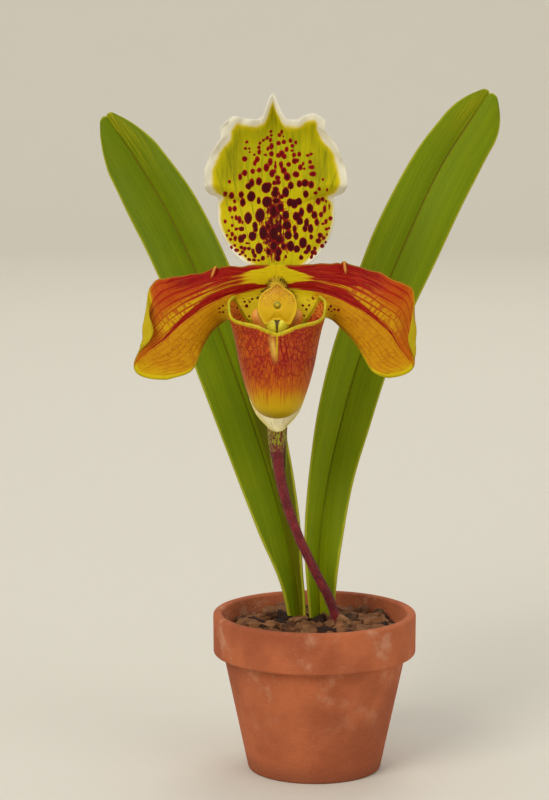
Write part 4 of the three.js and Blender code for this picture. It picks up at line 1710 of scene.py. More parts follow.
@dataclass
class FlowerStem:
    """Hairy flower stem, with the bract and the ribbed ovary that it carries.

    The stem's rows are points, the ovary's a point and a radius, the bract's a height, a radius
    and the degrees that it wraps to each side.
    """

    stem: Rows = (
        (10.3, -5.1, 48.2),
        (9.3, -5.7, 61.5),
        (6, -6.8, 72.6),
        (0.4, -8.3, 84),
        (-6.2, -10.4, 98.3),
        (-11.3, -12.1, 112.4),
        (-14.2, -13.4, 124.5),
        (-15.4, -14, 134.5),
    )
    radii: Rows = ((0, 1.95), (0.55, 1.85), (0.8, 2), (1, 2.3))
    ovary: Rows = (
        (-15.4, -14.2, 132.4, 2.4),
        (-15.5, -12.4, 144, 3.8),
        (-15.6, -10.4, 160, 4.1),
        (-15.6, -9.6, 176, 4),
        (-15.6, -10.2, 190, 3.7),
        (-15.6, -14, 199.8, 3.4),
        (-15.6, -21.2, 203.6, 2.8),
    )
    bract: Rows = (
        (128, 3.1, 62),
        (136, 3.9, 58),
        (144, 4.9, 50),
        (152, 5.5, 40),
        (159, 6.4, 26),
        (165, 7.6, 7),
    )
    top: float = 133.2
    foot: float = 50.0
    gap: float = 0.04
    bract_thickness: float = 0.7
    front_of_ovary: float = -19.2
    hair_radius: float = 0.06
    hair_droop: float = 0.12
    seed: int = 5

    def build(self) -> None:
        """Make the stem, the ovary, the bract and the hairs."""
        self.build_stem()
        self.build_ovary()
        self.build_bract()

    def grow_hairs(
        self,
        surface: Surface,
        span: tuple[float, float],
        count: int,
        length: float,
        hair: CloudFinish,
        slot: str,
    ) -> None:
        """Grow hairs square to a surface.

        Args:
            surface: Surface they grow on.
            span: Shares of the length between which they grow.
            count: How many there are.
            length: Their mean length.
            hair: Their finish, which also gives the piece its name.
            slot: The record's material slot.
        """
        random = np.random.default_rng(self.seed + count)
        u, v = random.uniform(-1, 1, count), random.uniform(*span, count)
        step = 1e-3
        roots = surface(u, v)
        across = surface(u + step, v) - surface(u - step, v)
        along = surface(u, v + step) - surface(u, v - step)
        out = np.cross(across, along)
        middle = (roots + surface(u + 1, v)) / 2
        out = unit(out) * np.sign(((roots - middle) * out).sum(axis=1, keepdims=True))
        lean = random.normal(0, 0.22, out.shape)
        lengths = length * random.uniform(0.6, 1.25, count)
        roots = roots - 2 * self.hair_radius * out
        hairs = add_hairs(f"{hair.name}s", roots, out + lean, lengths, self.hair_radius, self.hair_droop)
        hand_over(hairs, slot, finish=hair.make())

    def build_stem(self) -> None:
        """Make the stem, cut level at its top, and its hairs."""
        shape = around(Line(self.stem), ribbed(self.radii, 0.03, 5))
        cut = kept_inside(shape, (-math.inf, -math.inf, self.foot), (math.inf, math.inf, self.top))
        stem = lay_tube("stem_skin", 28, 120, cut)
        hand_over(stem, "stem_maroon", "flower_stem", finish=StemFinish().make())
        self.grow_hairs(shape, (0.14, 0.985), count=2300, length=0.75, hair=STEM_HAIR, slot="stem_maroon")

    def build_ovary(self) -> None:
        """Make the ribbed ovary and its hairs."""
        shape = around(Line(self.ovary), ribbed(numbered(self.ovary, 3), 0.07, 6))
        cut = kept_inside(shape, (-math.inf, self.front_of_ovary, self.top + self.gap))
        ovary = lay_tube("ovary_skin", 48, 90, cut)
        hand_over(ovary, "ovary_mottled", "ovary", finish=OvaryFinish().make())
        self.grow_hairs(shape, (0.03, 0.8), count=1300, length=0.48, hair=OVARY_HAIR, slot="ovary_mottled")

    def build_bract(self) -> None:
        """Make the bract that sheathes the ovary's back."""
        line = Line([row[:3] for row in (*self.stem[:-1], *self.ovary[1:-1])])
        course_x, course_y, course_z = line.at(even_spread(800)).T
        rows = numbered(self.bract, 0)

        def surface(u: Array, v: Array) -> Array:
            """Wrap the sheath round the back of the line.

            Args:
                u: Share of the wrap, -1 to 1.
                v: Share of the length.

            Returns:
                One point for each pair.
            """
            height, radius, wrap = steady(rows, v).T
            x, y = np.interp(height, course_z, course_x), np.interp(height, course_z, course_y)
            angle = np.radians(u * wrap)
            return np.stack([x + radius * np.sin(angle), y + radius * np.cos(angle), height], axis=1)

        bract = lay_grid("bract_sheath", 24, 44, surface)[0]
        turn_towards(bract, (0, 1, 0))
        thicken(bract, [BractFinish().make()] * 3, self.bract_thickness)
        hand_over(bract, "bract_green", "bract")


# The flower


@dataclass(frozen=True)
class FlowerPlace:
    """Where the flower joins the ovary, and which way its front looks."""

    x: float = -15.6
    front: Triple = (0.0, -1.0, 0.0)


FLOWER = FlowerPlace()


@dataclass(frozen=True)
class SpotChart:
    """The hood's spots as rows of across, up, width and height.

    They count in steps from the middle of the hood's foot, whose place in the picture is given in
    pixels. A step is given in pixels and in millimetres.
    """

    middle: float = 276.5
    foot: float = 262.5
    step: float = 1.2114
    step_size: float = 0.49
    rows: Rows = (
        (-4.9, 108.3, 2, 2.2), (-4.7, 105.2, 2, 1.8), (-8, 103.1, 2.6, 2.4), (-11, 101.2, 2.2, 1.8),
        (-5.2, 101.2, 2.2, 2.8), (-13.8, 98.7, 2.2, 2), (-24.6, 99.7, 2.2, 2), (-25.8, 94.4, 2, 1.8),
        (-22.7, 94.2, 1.6, 1.6), (-22.2, 91.5, 1.2, 1.4), (-14.7, 95.3, 2.4, 2.4), (-4.3, 96, 3.4, 4.6),
        (-7.4, 94, 2.2, 2.8), (-14.3, 91.4, 2.8, 3.4), (-18.4, 89.2, 1.6, 1.6), (-9.3, 89, 2.6, 1.8),
        (-4.3, 89.7, 3.6, 4), (-26.4, 85.7, 4, 4), (-16, 85.3, 3.4, 4.4), (-18, 82, 2.4, 4),
        (-5.3, 83.3, 3.4, 5.4), (-8.5, 78.3, 4.2, 6), (-14.3, 76.4, 3.4, 3.6), (-19.7, 75.4, 3.2, 3.6),
        (-26.4, 74.1, 4, 4.8), (-30.1, 70.7, 2.8, 4.6), (-39, 66.9, 2.2, 2.4), (-3.8, 73.5, 4, 6),
        (-1.7, 75, 2.8, 3.4), (-0.8, 79.5, 2.2, 3.2), (-0.9, 82.9, 1.4, 1.8), (2.7, 105.4, 2.6, 2.8),
        (4.8, 107.9, 2, 3), (1.9, 98.8, 3, 3.4), (6.3, 99.7, 3, 3.4), (6, 104.5, 1, 1.2),
        (11.7, 101.1, 2.6, 3.4), (16, 99.4, 2.2, 2.8), (13.2, 96.6, 2.6, 3), (13, 92.5, 2, 1.6),
        (8.5, 93.6, 2.6, 3.6), (4.5, 90, 4, 5), (6.5, 87.5, 3.6, 4), (1.8, 88.5, 3.4, 3.4),
        (14.5, 88.9, 3, 3.4), (18.8, 89.6, 2.8, 3.6), (25.8, 88.4, 2.6, 1.8), (28.6, 89.8, 2.4, 1.8),
        (27.9, 83.2, 2.8, 2.8), (15, 83.9, 4, 4.4), (16.8, 84.3, 3.6, 3.4), (10.1, 81, 3.4, 3.6),
        (3.9, 80.8, 3, 5), (6, 76, 4.4, 5), (8.8, 70.8, 5.2, 6.4), (16.2, 72.8, 5.2, 4.8),
        (19.6, 78.4, 3.4, 4.2), (22.1, 81.7, 1.8, 2.6), (23.1, 77.5, 1.4, 1.6), (28.1, 78.7, 3, 2.4),
        (29.8, 78.9, 2.6, 3.4), (30, 73.2, 5, 3.8), (38.3, 68.6, 1.8, 2), (35.3, 61, 2, 2.4),
        (41.7, 60.3, 1.4, 2.2), (32.1, 57.9, 3.2, 2.4), (24.2, 56.6, 4.2, 5.4), (19, 65, 4, 5),
        (23.7, 65.7, 5.4, 6), (28.8, 64.2, 4.4, 5.8), (11.8, 63.5, 4.4, 6), (7.5, 58, 5.2, 8),
        (1, 70, 4, 3.6), (1.5, 66.5, 3.6, 4), (-2, 65.7, 3, 3.6), (-0.7, 60.5, 5, 4), (-1.2, 57, 6.4, 6),
        (4.4, 54.2, 3, 3.6), (-0.2, 51, 6, 4.6), (-14.5, 67, 4.8, 6.2), (-20.5, 65.7, 4, 6.6),
        (-23.2, 63, 5, 5), (-8.7, 61.7, 7.2, 8.4), (-6, 63.5, 3, 5), (-20.8, 54.7, 6.6, 7.8),
        (-14.7, 51, 3, 5), (-8, 50, 7.4, 8.6), (-6, 50.5, 4, 6), (-27.6, 49.7, 4.2, 6.6),
        (-29.1, 56.4, 3.8, 4.8), (-36.9, 55.8, 3.8, 5), (-42.1, 57.2, 3, 3.8), (-34.2, 50.6, 2.2, 3.4),
        (-38, 44, 2.8, 4), (-34.1, 44.4, 3, 4), (11, 49.5, 5, 6.4), (14.5, 48.5, 6, 7.4),
        (18.2, 50.5, 5, 5.6), (27.2, 44.7, 5, 7.6), (33.9, 50.7, 3.4, 6), (37.7, 52.5, 2.6, 4),
        (40.3, 50.5, 1.4, 2.2), (39.2, 44, 2.4, 5), (43.1, 46, 1, 3), (20.5, 41.5, 4, 7), (16.5, 38, 6, 7),
        (19, 34, 5, 6), (-2.5, 42, 5.6, 10), (3.2, 45.5, 5, 7), (7.5, 39, 5.4, 7), (-13.5, 38.8, 7.4, 11),
        (-23.3, 36.7, 6, 9.2), (31, 39.2, 4.4, 6), (36.4, 39.5, 3, 4), (24.7, 32.8, 3.6, 6.4),
        (32.9, 33.2, 3.4, 5.6), (44, 36.4, 2.8, 3.4), (40.4, 33.7, 2.4, 3.6), (37.8, 32, 2.2, 1.8),
        (-42, 33.8, 2.4, 2.6), (-36.2, 37.4, 1.6, 1.8), (-33, 36.8, 2, 3.8), (-30.3, 35.2, 2.8, 5.6),
        (-27.7, 33.3, 1.4, 2.6), (-36.1, 30.4, 2, 2.2), (-32.8, 27.6, 2.6, 2.2), (-28.6, 27.7, 4, 3.6),
        (-38.9, 26.2, 1.8, 1.8), (-40.4, 22.6, 1.6, 1.8), (-36.1, 23.5, 2.2, 3.4), (-37.4, 19.2, 2, 2),
        (-33.7, 20, 2.4, 4), (-29, 19.5, 4.6, 6), (-26.7, 21.5, 3.6, 4), (-17.7, 30.5, 4, 5.6),
        (-17.3, 27, 3.6, 3.6), (-19.7, 21.7, 6, 7.2), (-10.8, 24.3, 6.2, 11.2), (-7, 30, 3.4, 5.4),
        (-14.3, 11.5, 5.8, 8.6), (-6.4, 8.8, 4, 5), (-2.3, 23.8, 6.6, 11), (2, 28.5, 5, 7),
        (8.5, 30.5, 7, 7), (9.5, 22.5, 6, 7), (2, 19, 5, 7), (-2.3, 13.5, 5.6, 8), (5.5, 13.2, 3.6, 4.4),
        (11.6, 13.5, 5.6, 8.4), (16.7, 11, 5, 5.4), (21.7, 16.2, 6, 8.4), (16, 22, 4, 6),
        (14.8, 27.5, 3, 6), (23.3, 27.7, 3.4, 5), (27.8, 28, 4.2, 6.6), (28.4, 21.2, 2.6, 3.6),
        (1.5, 8.5, 5, 8), (0.8, 3.5, 4, 5), (7.6, 4.7, 1.8, 2.4), (20.2, 4, 3, 3.6), (24, 8.5, 4, 3),
        (26.2, 11.5, 3.6, 6), (29.5, 8, 3, 4), (31.3, 11.5, 2.6, 3), (32, 7.3, 2, 3), (28.8, 4, 2.2, 2.8),
        (37.2, 13.7, 3.2, 3.4), (34, 18, 4.4, 4), (35.5, 22.5, 4, 4), (38.5, 20.3, 2.6, 2.6),
        (40.1, 17, 1.6, 2), (41.1, 23.3, 1.4, 1.8), (40.7, 27.7, 2.2, 2.2), (43.1, 28.5, 1.2, 1.6),
        (-36.8, 12.5, 2.4, 2.6), (-34, 14.2, 2.2, 2.2), (-32.5, 9.9, 3.8, 2.8), (-30, 6.3, 2, 1.6),
        (-28.8, 12.5, 2.6, 2.4), (-26, 11.5, 2.4, 3), (-23.7, 15.7, 2.6, 1.4), (-22.8, 11.5, 2.6, 2.4),
        (-27.8, 8.2, 2.6, 3), (-25.5, 5.3, 1.8, 2), (-19.2, 9, 2.4, 4), (-17.7, 5.5, 2.8, 3),
        (-22.5, 2.2, 2.8, 2.4), (-18.5, 1.9, 2.8, 2.2), (-14.7, 1.5, 2, 1.6), (-11.2, 3.4, 3, 3.4),
    )

    def distance(self, points: Array) -> tuple[Array, Array, Array]:
        """Measure points against the spots as the picture shows them.

        Args:
            points: Points of the hood in millimetres.

        Returns:
            Distance outside the nearest spot in millimetres, and each point's across and up.
        """
        seen = VIEW.seen(points)
        chart = np.stack([seen[:, 0] - self.middle, self.foot - seen[:, 1]], axis=1) / self.step
        return self.step_size * spot_distance(chart, np.array(self.rows)), chart[:, 0], chart[:, 1]


@dataclass
class DorsalSepal:
    """Upright hood sepal with spread wings and a pinched tip."""

    widths: Rows = (
        (0, 10, 11), (0.06, 15.8, 16), (0.12, 18.7, 19), (0.2, 21.4, 21.8), (0.3, 23.2, 23.6),
        (0.4, 23.2, 23.8), (0.463, 23, 23.4), (0.5, 26.7, 27.2), (0.56, 28.1, 29), (0.64, 27.9, 28.8),
        (0.74, 26, 27), (0.83, 22.9, 25), (0.89, 20.8, 22.6), (0.94, 21, 20.4), (1, 18.1, 21),
    )
    tops: Rows = (
        (-1, 268.8), (-0.85, 270.8), (-0.62, 269.9), (-0.37, 269.4), (-0.2, 271.5), (-0.12, 275.5),
        (-0.06, 278.4), (0, 279.5), (0.05, 278), (0.1, 275.5), (0.17, 272.2), (0.3, 269.4),
        (0.44, 269.4), (0.59, 271), (0.74, 271.9), (0.9, 270.7), (1, 268.9),
    )
    foot: float = 204.6
    foot_rise: float = 6.6
    lean: float = -1.6
    front: float = -20.3
    thickness: float = 0.9
    across: int = 150
    along: int = 176

    def surface(self, u: Array, v: Array) -> Array:
        """Find points on the middle of the sepal.

        Args:
            u: Share of the half width, -1 to 1.
            v: Share of the height.

        Returns:
            One point for each pair.
        """
        left, right = steady(self.widths, v).T
        x = FLOWER.x + self.lean * v + np.where(u < 0, u * left, u * right)
        out = np.abs(u)
        low = self.foot + self.foot_rise * out**1.2
        z = low + (steady(self.tops, u)[:, 0] - low) * v
        wing = ease(0.44, 0.56, v)
        y = self.front + 15 * v - 12.5 * v**3
        y += 7.5 * out**3 * (1 - wing) * ease(0, 0.16, v) - 4.5 * u**2 * wing
        y += 1.1 * np.sin(9 * v + 3 * u) * ease(0.55, 1, out) * wing
        y -= 2.4 * ease(0.84, 1, v) * (1 - ease(0.7, 1, out))
        ruffle = np.sin(33 * v + 4 * u) * ease(0.86, 1, out) * wing
        ruffle += np.sin(19 * u + 1) * ease(0.9, 1, v)
        y += 0.5 * hill(u, 0.05) * ease(0.1, 0.4, v) + 0.55 * ruffle
        return np.stack([x, y, z], axis=1)

    def build(self) -> None:
        """Lay the sepal, chart its spots and margin, and dress it."""
        sepal, u, _ = lay_grid("dorsal_hood", self.across, self.along, self.surface)
        points = places_of(sepal) / MM
        distance = rim_distance(points, rim_of(self.surface))
        spots, x, y = SpotChart().distance(points)
        out = np.abs(x)
        lobes = ease(88, 104, y) * ease(31, 40, out)
        margin = 1.1 + 1.6 * ease(46, 56, y) + 1.5 * lobes
        margin -= 0.5 * ease(108, 116, y) * (1 - lobes)
        drop = np.maximum(0, (np.abs(y - 33) - 10) / 24)
        band = ease(22, 34, out) * ease(56, 76, y)
        store_fields(
            sepal,
            white=distance - margin,
            spot=spots,
            dark=0.12 + 0.42 * ease(78, 55, y) * ease(44, 22, out),
            blush=1.15 * hill(x, 8.5) * hill(drop, 1) + 0.62 * hill(x, 24) * hill(y - 26, 20),
            tall=np.clip(y / 125, 0, 1.2),
            lean=x / 50,
            olive=band * ease(1, 6, distance - margin),
            spoke=x / (6 + 0.085 * y),
        )
        turn_towards(sepal, FLOWER.front)
        shares = (0.55 + 0.45 * ease(0, 1, distance)) * (1 - 0.2 * u**2)
        front, back = (HoodFinish(f"hood_{face.value}", face).make() for face in Face)
        thicken(sepal, (front, back, front), self.thickness, shares)
        hand_over(sepal, "dorsal_sepal_spotted", "dorsal_sepal")


def bowed(rows: Rows) -> Surface:
    """Bow a surface through three lines of points.

    Args:
        rows: Rows of a point on the first edge, one in the middle and one on the last edge.

    Returns:
        The surface.
    """
    lines = [Line(rows, column) for column in (0, 3, 6)]

    def surface(u: Array, v: Array) -> Array:
        """Find points on the bow.

        Args:
            u: Place across, -1 to 1.
            v: Place along, 0 to 1.

        Returns:
            One point for each pair.
        """
        shares = (u * (u - 1) / 2, 1 - u**2, u * (u + 1) / 2)
        return sum(line.at(v) * share[:, None] for line, share in zip(lines, shares))

    return surface


@dataclass
class Synsepal:
    """Pale sepal behind the pouch, joined from two; its rows hold three points across."""

    rows: Rows = (
        (-22, -20.2, 202.5, -15.6, -20.2, 202.5, -9.2, -20.2, 202.5),
        (-28.2, -20.6, 191.6, -15.6, -19.4, 191.6, -3, -20.6, 191.6),
        (-27.9, -21.5, 177.6, -15.6, -18.8, 177.4, -3.6, -21.5, 177.6),
        (-27.6, -24, 163.7, -15.6, -20.5, 163.4, -3.6, -24, 163.7),
        (-24.4, -27, 153.6, -15.6, -24.5, 152.2, -6.8, -27, 153.6),
        (-18.6, -29, 147, -15.6, -29, 145.8, -12.6, -29, 147),
    )
    thickness: float = 0.9
    across: int = 54
    along: int = 110

    def surface(self, u: Array, v: Array) -> Array:
        """Find points on the sepal, with the two ribs of the sepals that grew together.

        Args:
            u: Place across, -1 to 1.
            v: Place along, 0 to 1.

        Returns:
            One point for each pair.
        """
        points = bowed(self.rows)(u, v)
        points[:, 1] += 0.35 * hill(np.abs(u) - 0.38, 0.07) * ease(0, 0.2, v)
        return points

    def build(self) -> None:
        """Lay the sepal and dress it."""
        sepal = lay_grid("synsepal_blade", self.across, self.along, self.surface)[0]
        points = places_of(sepal) / MM
        distance = rim_distance(points, rim_of(self.surface, 500))
        store_fields(sepal, rim=distance, foot=ease(182, 186, points[:, 2]))
        turn_towards(sepal, FLOWER.front)
        shares = 0.55 + 0.45 * ease(0, 1, distance)
        thicken(sepal, [CreamFinish().make()] * 3, self.thickness, shares)
        hand_over(sepal, "synsepal_cream", "synsepal")


@dataclass
class Petal:
    """Drooping petal with a rippled upper edge and a rolled outer margin.

    Its rows hold a point of the upper edge, one of the middle and one of the lower edge. Its
    tables hold, along the petal, the middle vein's place across, the low crimson band's two
    edges and the upper band's lower edge. Its dots are picture places with a width.
    """

    node: str
    rows: Rows
    side: float
    dots: Rows
    crease: tuple[float, float]
    middle: Rows
    low_band: Rows
    top_band: Rows
    roll_start: float
    gap_gold: float
    wave_depth: float = 1.5
    wave_count: float = 3.5
    roll_out: float = 1.9
    roll_forward: float = 3.2
    midline_gap: float = 0.15
    thickness: float = 0.95
    across: int = 96
    along: int = 190

    def surface(self, u: Array, v: Array) -> Array:
        """Find points on the middle of the petal.

        Args:
            u: Place across, -1 at the upper edge to 1 at the lower one.
            v: Place along, 0 to 1.

        Returns:
            One point for each pair.
        """
        point = bowed(self.rows)(u, v)
        ripple = np.sin(2 * math.pi * self.wave_count * v) * ease(0.1, 0.3, v)
        ripple *= ease(0.2, 1, -u) * (1 - ease(0.75, 1, v))
        rolled = ease(0.62, 0.8, v) * (1 - ease(0.88, 1, v))
        curl = np.maximum(0, -u - 0.5) / 0.5
        rib = hill(self.cross(u, v), 0.05) * ease(0.95, 0.7, v)
        pinch = self.pinch(u, v, 0, 0.008) - 0.8 * self.pinch(u, v, -0.016, 0.008)
        frill = np.sin(41 * v + 2 * self.side) + 0.6 * np.sin(73 * v)
        point[:, 0] += self.side * self.roll_out * rolled * np.sin(math.pi * curl)
        point[:, 1] += self.wave_depth * ripple - self.roll_forward * rolled * curl**2
        point[:, 1] += 0.3 * rib - 0.8 * pinch
        point[:, 2] += 0.7 * pinch + 0.28 * frill * ease(-0.6, -1, u) * ease(0.05, 0.15, v)
        start = FLOWER.x + self.side * self.midline_gap
        point[:, 0] = start + self.side * np.maximum(self.side * (point[:, 0] - start), 0)
        return point

    def pinch(self, u: Array, v: Array, shift: float, width: float) -> Array:
        """Follow the small crease that runs in from the upper margin.

        Args:
            u: Each point's place across.
            v: Each point's place along.
            shift: How far along the line lies from the crease.
            width: Its half width along the petal.

        Returns:
            Strength from 0 to 1.
        """
        start, slant = self.crease
        return hill(v - start - slant * (u + 1) - shift, width) * ease(-0.66, -0.85, u)

    def cross(self, u: Array, v: Array) -> Array:
        """Count across from the middle vein."""
        return u - steady(self.middle, v)[:, 0]

    def build(self) -> None:
        """Lay the petal, chart its colours and dress it."""
        petal, u, v = lay_grid(f"{self.node}_blade", self.across, self.along, self.surface)
        points = places_of(petal) / MM
        rim = rim_distance(points, rim_of(self.surface))
        self.chart_bands(petal, u, v)
        self.chart_veins(petal, u, v)
        self.chart_margins(petal, u, v, rim)
        dots = np.array([(x, y, size, size) for x, y, size in self.dots])
        store_fields(petal, spot=0.4 * spot_distance(VIEW.seen(points), dots))
        turn_towards(petal, FLOWER.front)
        shares = (1 - 0.26 * u**2) * (0.55 + 0.45 * ease(0, 0.9, rim))
        front, back = (PetalFinish(f"{self.node}_{face.value}", face).make() for face in Face)
        thicken(petal, (front, back, front), self.thickness, shares)
        hand_over(petal, "petal_veined", self.node)

    def chart_bands(self, petal: Mesh, u: Array, v: Array) -> None:
        """Store where the crimson bands and the broad zones of colour lie.

        Args:
            petal: The petal's sheet.
            u: Each point's place across.
            v: Each point's place along.
        """
        s = self.cross(u, v)
        top, foot = steady(self.low_band, v).T
        low = ease(top - 0.11, top + 0.08, u) * ease(foot + 0.12, foot - 0.09, u)
        low *= ease(0.02, 0.05, v) * ease(0.78, 0.6, v)
        edge = steady(self.top_band, v)[:, 0]
        high = ease(edge + 0.12, edge - 0.05, u) * ease(0.015, 0.07, v)
        high *= 1 - 0.38 * ease(0.3, 0.42, v) - 0.5 * ease(0.42, 0.58, v)
        rib = 0.9 * hill(s, 0.03) * ease(0.97, 0.85, v) * ease(0.02, 0.06, v)
        between = 0.5 * ease(0.05, -0.1, s) * ease(0.1, 0.18, v) * ease(0.62, 0.26, v)
        over = ease(0.04, -0.06, s)
        far = np.maximum(ease(0.5, 0.8, v), ease(-0.1, -0.6, s) * ease(0.25, 0.4, v))
        hot = ease(-0.25, -0.65, s) * ease(0.24, 0.4, v) * (1 - 0.85 * ease(0.5, 0.72, v))
        base = ease(0.2, 0.09, v)
        gaps = over * ease(-0.75, -0.35, s) * ease(0.15, 0.3, v) * ease(0.84, 0.6, v)
        tip = 0.8 * ease(0.8, 0.95, v) * ease(-0.1, 0.4, s)
        gold = base + self.gap_gold * gaps + tip + 0.35 * ease(0.2, 0.8, u)
        store_fields(
            petal,
            red=np.clip(np.maximum.reduce([high, low, rib, between]), 0, 1.1),
            orange=over * far + 0.2 * ease(0.5, 0.9, v),
            hot=0.85 * hot,
            # mouth: the yellow base beside the pouch, brightened as painted light in the shaded hollow
            mouth=ease(0.05, 0.45, u) * ease(0.33, 0.2, v),
            yellow=np.clip(base + 0.3 * ease(0.35, 0.2, v) * (1 - over), 0, 1),
            gold=np.clip(gold, 0, 1),
        )

    def chart_veins(self, petal: Mesh, u: Array, v: Array) -> None:
        """Store where the lengthwise veins run and where their nets show.

        Args:
            petal: The petal's sheet.
            u: Each point's place across.
            v: Each point's place along.
        """
        s = self.cross(u, v)
        over = ease(0.04, -0.06, s)
        under = 1 - over
        rungs = over * ease(0.28, 0.38, v) * (1 - 0.6 * ease(0.5, 0.75, v))
        rungs = rungs * (1 - 0.6 * ease(-0.3, -0.7, s)) + 0.3 * under * ease(0.3, 0.5, v)
        store_chart(petal, "vein", 7 * s + 0.5, v)
        store_fields(
            petal,
            veins=0.9 * over * ease(0.08, 0.2, v) * (1 - 0.35 * ease(0.5, 0.8, v)),
            faint=0.55 * under * ease(0.1, 0.25, v) * ease(1, 0.88, v),
            mesh=0.4 * (1 - 0.6 * over) * ease(0.15, 0.3, v) * ease(1, 0.9, v),
            bold=over * ease(0.7, 0.2, v),
            rungs=rungs * ease(0.97, 0.85, v),
        )

    def chart_margins(self, petal: Mesh, u: Array, v: Array, rim: Array) -> None:
        """Store where the margins turn brown and lemon, and where the petal folds.

        Args:
            petal: The petal's sheet.
            u: Each point's place across.
            v: Each point's place along.
            rim: Each point's distance from the rim.
        """
        rolled = ease(self.roll_start, self.roll_start + 0.12, v) * ease(0.99, 0.93, v)
        crescent = rolled * ease(-0.70, -0.78, u)
        side = ease(1.7, 0.7, rim) * ease(0, 0.5, u) * ease(0.66, 0.82, v)
        end = ease(2.4, 1, rim) * ease(0.86, 0.95, v) * ease(-0.6, 0, u)
        low = ease(0.2, 0.7, u) * ease(0.2, 0.3, v) * ease(0.72, 0.5, v)
        store_fields(
            petal,
            # brown: painted shade along the lower margin beside the pouch
            brown=ease(3, 0.3, rim) * low,
            lemon=np.maximum.reduce([crescent, side, end]),
            crease=self.pinch(u, v, 0, 0.004),
            # fold: painted shade on the inner side of the rolled margin and just beside the crease
            fold=np.maximum(rolled * hill(u + 0.63, 0.06), 0.8 * self.pinch(u, v, 0.009, 0.003)),
            rim=rim,
            rimmed=np.where(u < 0, 0.55, 0.8) * (0.6 + 0.4 * ease(0.5, 0.7, v)),
        )


LEFT_PETAL = (
    (-15.2, -21.6, 212.2, -15.2, -21.6, 203.4, -16.6, -21.6, 194.2),
    (-27.1, -22.5, 211.7, -27.1, -24.5, 202.3, -26.8, -22.5, 189.5),
    (-38.6, -23, 211, -36.6, -28, 199.3, -35.1, -25, 190.2),
    (-50.4, -24.5, 207.9, -44.9, -31, 196, -41, -29, 186.2),
    (-60.8, -27.5, 207.2, -52.3, -34, 191.1, -44.5, -32, 181),
    (-66.3, -31, 202.9, -59, -36, 185.4, -46.4, -35, 176.6),
    (-65.9, -35, 194.4, -63.2, -37.4, 180, -48.7, -37, 171.9),
    (-64.3, -37.5, 186.4, -66.6, -38.2, 175.8, -52.3, -38.3, 169.8),
    (-70, -38.3, 179, -70.9, -38.8, 170.6, -59, -39, 168),
)
RIGHT_PETAL = (
    (-16, -21.6, 212.2, -16, -21.6, 203.4, -14.6, -21.6, 194.2),
    (-4.1, -22.5, 211.9, -4.1, -24.5, 202.5, -4, -22.5, 190.3),
    (7.4, -23, 212.9, 4.6, -28, 200.1, 4.7, -25, 191),
    (18.8, -24.5, 210.9, 13.3, -31, 196.4, 10.6, -29, 186.6),
    (29.8, -27.5, 207.1, 21.5, -34, 190.7, 14.9, -32, 182.2),
    (38.3, -31, 202.3, 28.5, -36, 184.6, 18.4, -35, 176.6),
    (37.5, -35, 192.8, 33, -37.4, 179.4, 21.3, -37, 171.8),
    (35.9, -37.5, 184, 35.4, -38.2, 175.4, 24.4, -38.3, 169.7),
    (38.4, -38.3, 176.6, 36.8, -38.8, 171.2, 28.1, -39, 168.7),
)
LEFT_BANDS = (
    (
        (0, -0.04), (0.12, 0), (0.24, -0.05), (0.36, 0),
        (0.62, 0.02), (0.74, -0.08), (0.86, -0.24), (1, -0.42),
    ),
    (
        (0, -0.05, -0.03), (0.06, -0.1, 0.02), (0.12, -0.2, 0.05), (0.17, -0.24, 0.04), (0.24, -0.3, -0.04),
        (0.33, -0.2, 0), (0.43, -0.12, 0.03), (0.51, -0.07, 0.03), (0.62, -0.02, 0.05), (1, 0, 0.01),
    ),
    ((0, -0.98), (0.06, -0.88), (0.14, -0.72), (0.25, -0.63), (0.36, -0.66), (0.5, -0.72), (1, -0.8)),
    0.56,
)
RIGHT_BANDS = (
    (
        (0, 0), (0.1, -0.03), (0.2, -0.1), (0.4, -0.12),
        (0.58, -0.11), (0.73, -0.04), (0.89, -0.14), (1, -0.3),
    ),
    (
        (0, -0.02, 0.02), (0.06, -0.14, 0.03), (0.12, -0.28, 0.03),
        (0.2, -0.36, -0.02), (0.28, -0.35, -0.05),
        (0.36, -0.28, -0.06), (0.45, -0.2, -0.09), (0.55, -0.15, -0.09), (1, -0.12, -0.1),
    ),
    (
        (0, -0.98), (0.05, -0.86), (0.12, -0.64), (0.22, -0.48),
        (0.32, -0.51), (0.42, -0.6), (0.55, -0.72), (1, -0.8),
    ),
    0.69,
)
LEFT_DOTS = (
    (222.5, 305.5, 2.2), (219, 308.1, 2), (222.5, 312, 2.2), (219.2, 312, 1.8), (244.4, 301.4, 2.4),
    (249.4, 301.7, 2.2), (252, 298.8, 2.4), (246.3, 305.8, 3.4), (248.9, 316, 2.2), (248.7, 320.3, 2),
    (243, 298.6, 1.4), (247.7, 299.8, 1.2),
)
RIGHT_DOTS = (
    (331.3, 305.9, 2.8), (329.3, 309, 2.2), (335, 309.3, 2.4), (338.9, 309.8, 2.8), (332, 311, 1.8),
    (335.2, 314.9, 1.4), (303.1, 305.2, 2.6), (309.3, 305.1, 2.2), (306.6, 309.1, 2.4), (313.8, 298.6, 2.2),
    (312.8, 297.3, 1.8), (304.3, 315.4, 2.2), (310, 314.7, 1.8), (307.6, 299.4, 1.2), (309.9, 300.6, 1),
)


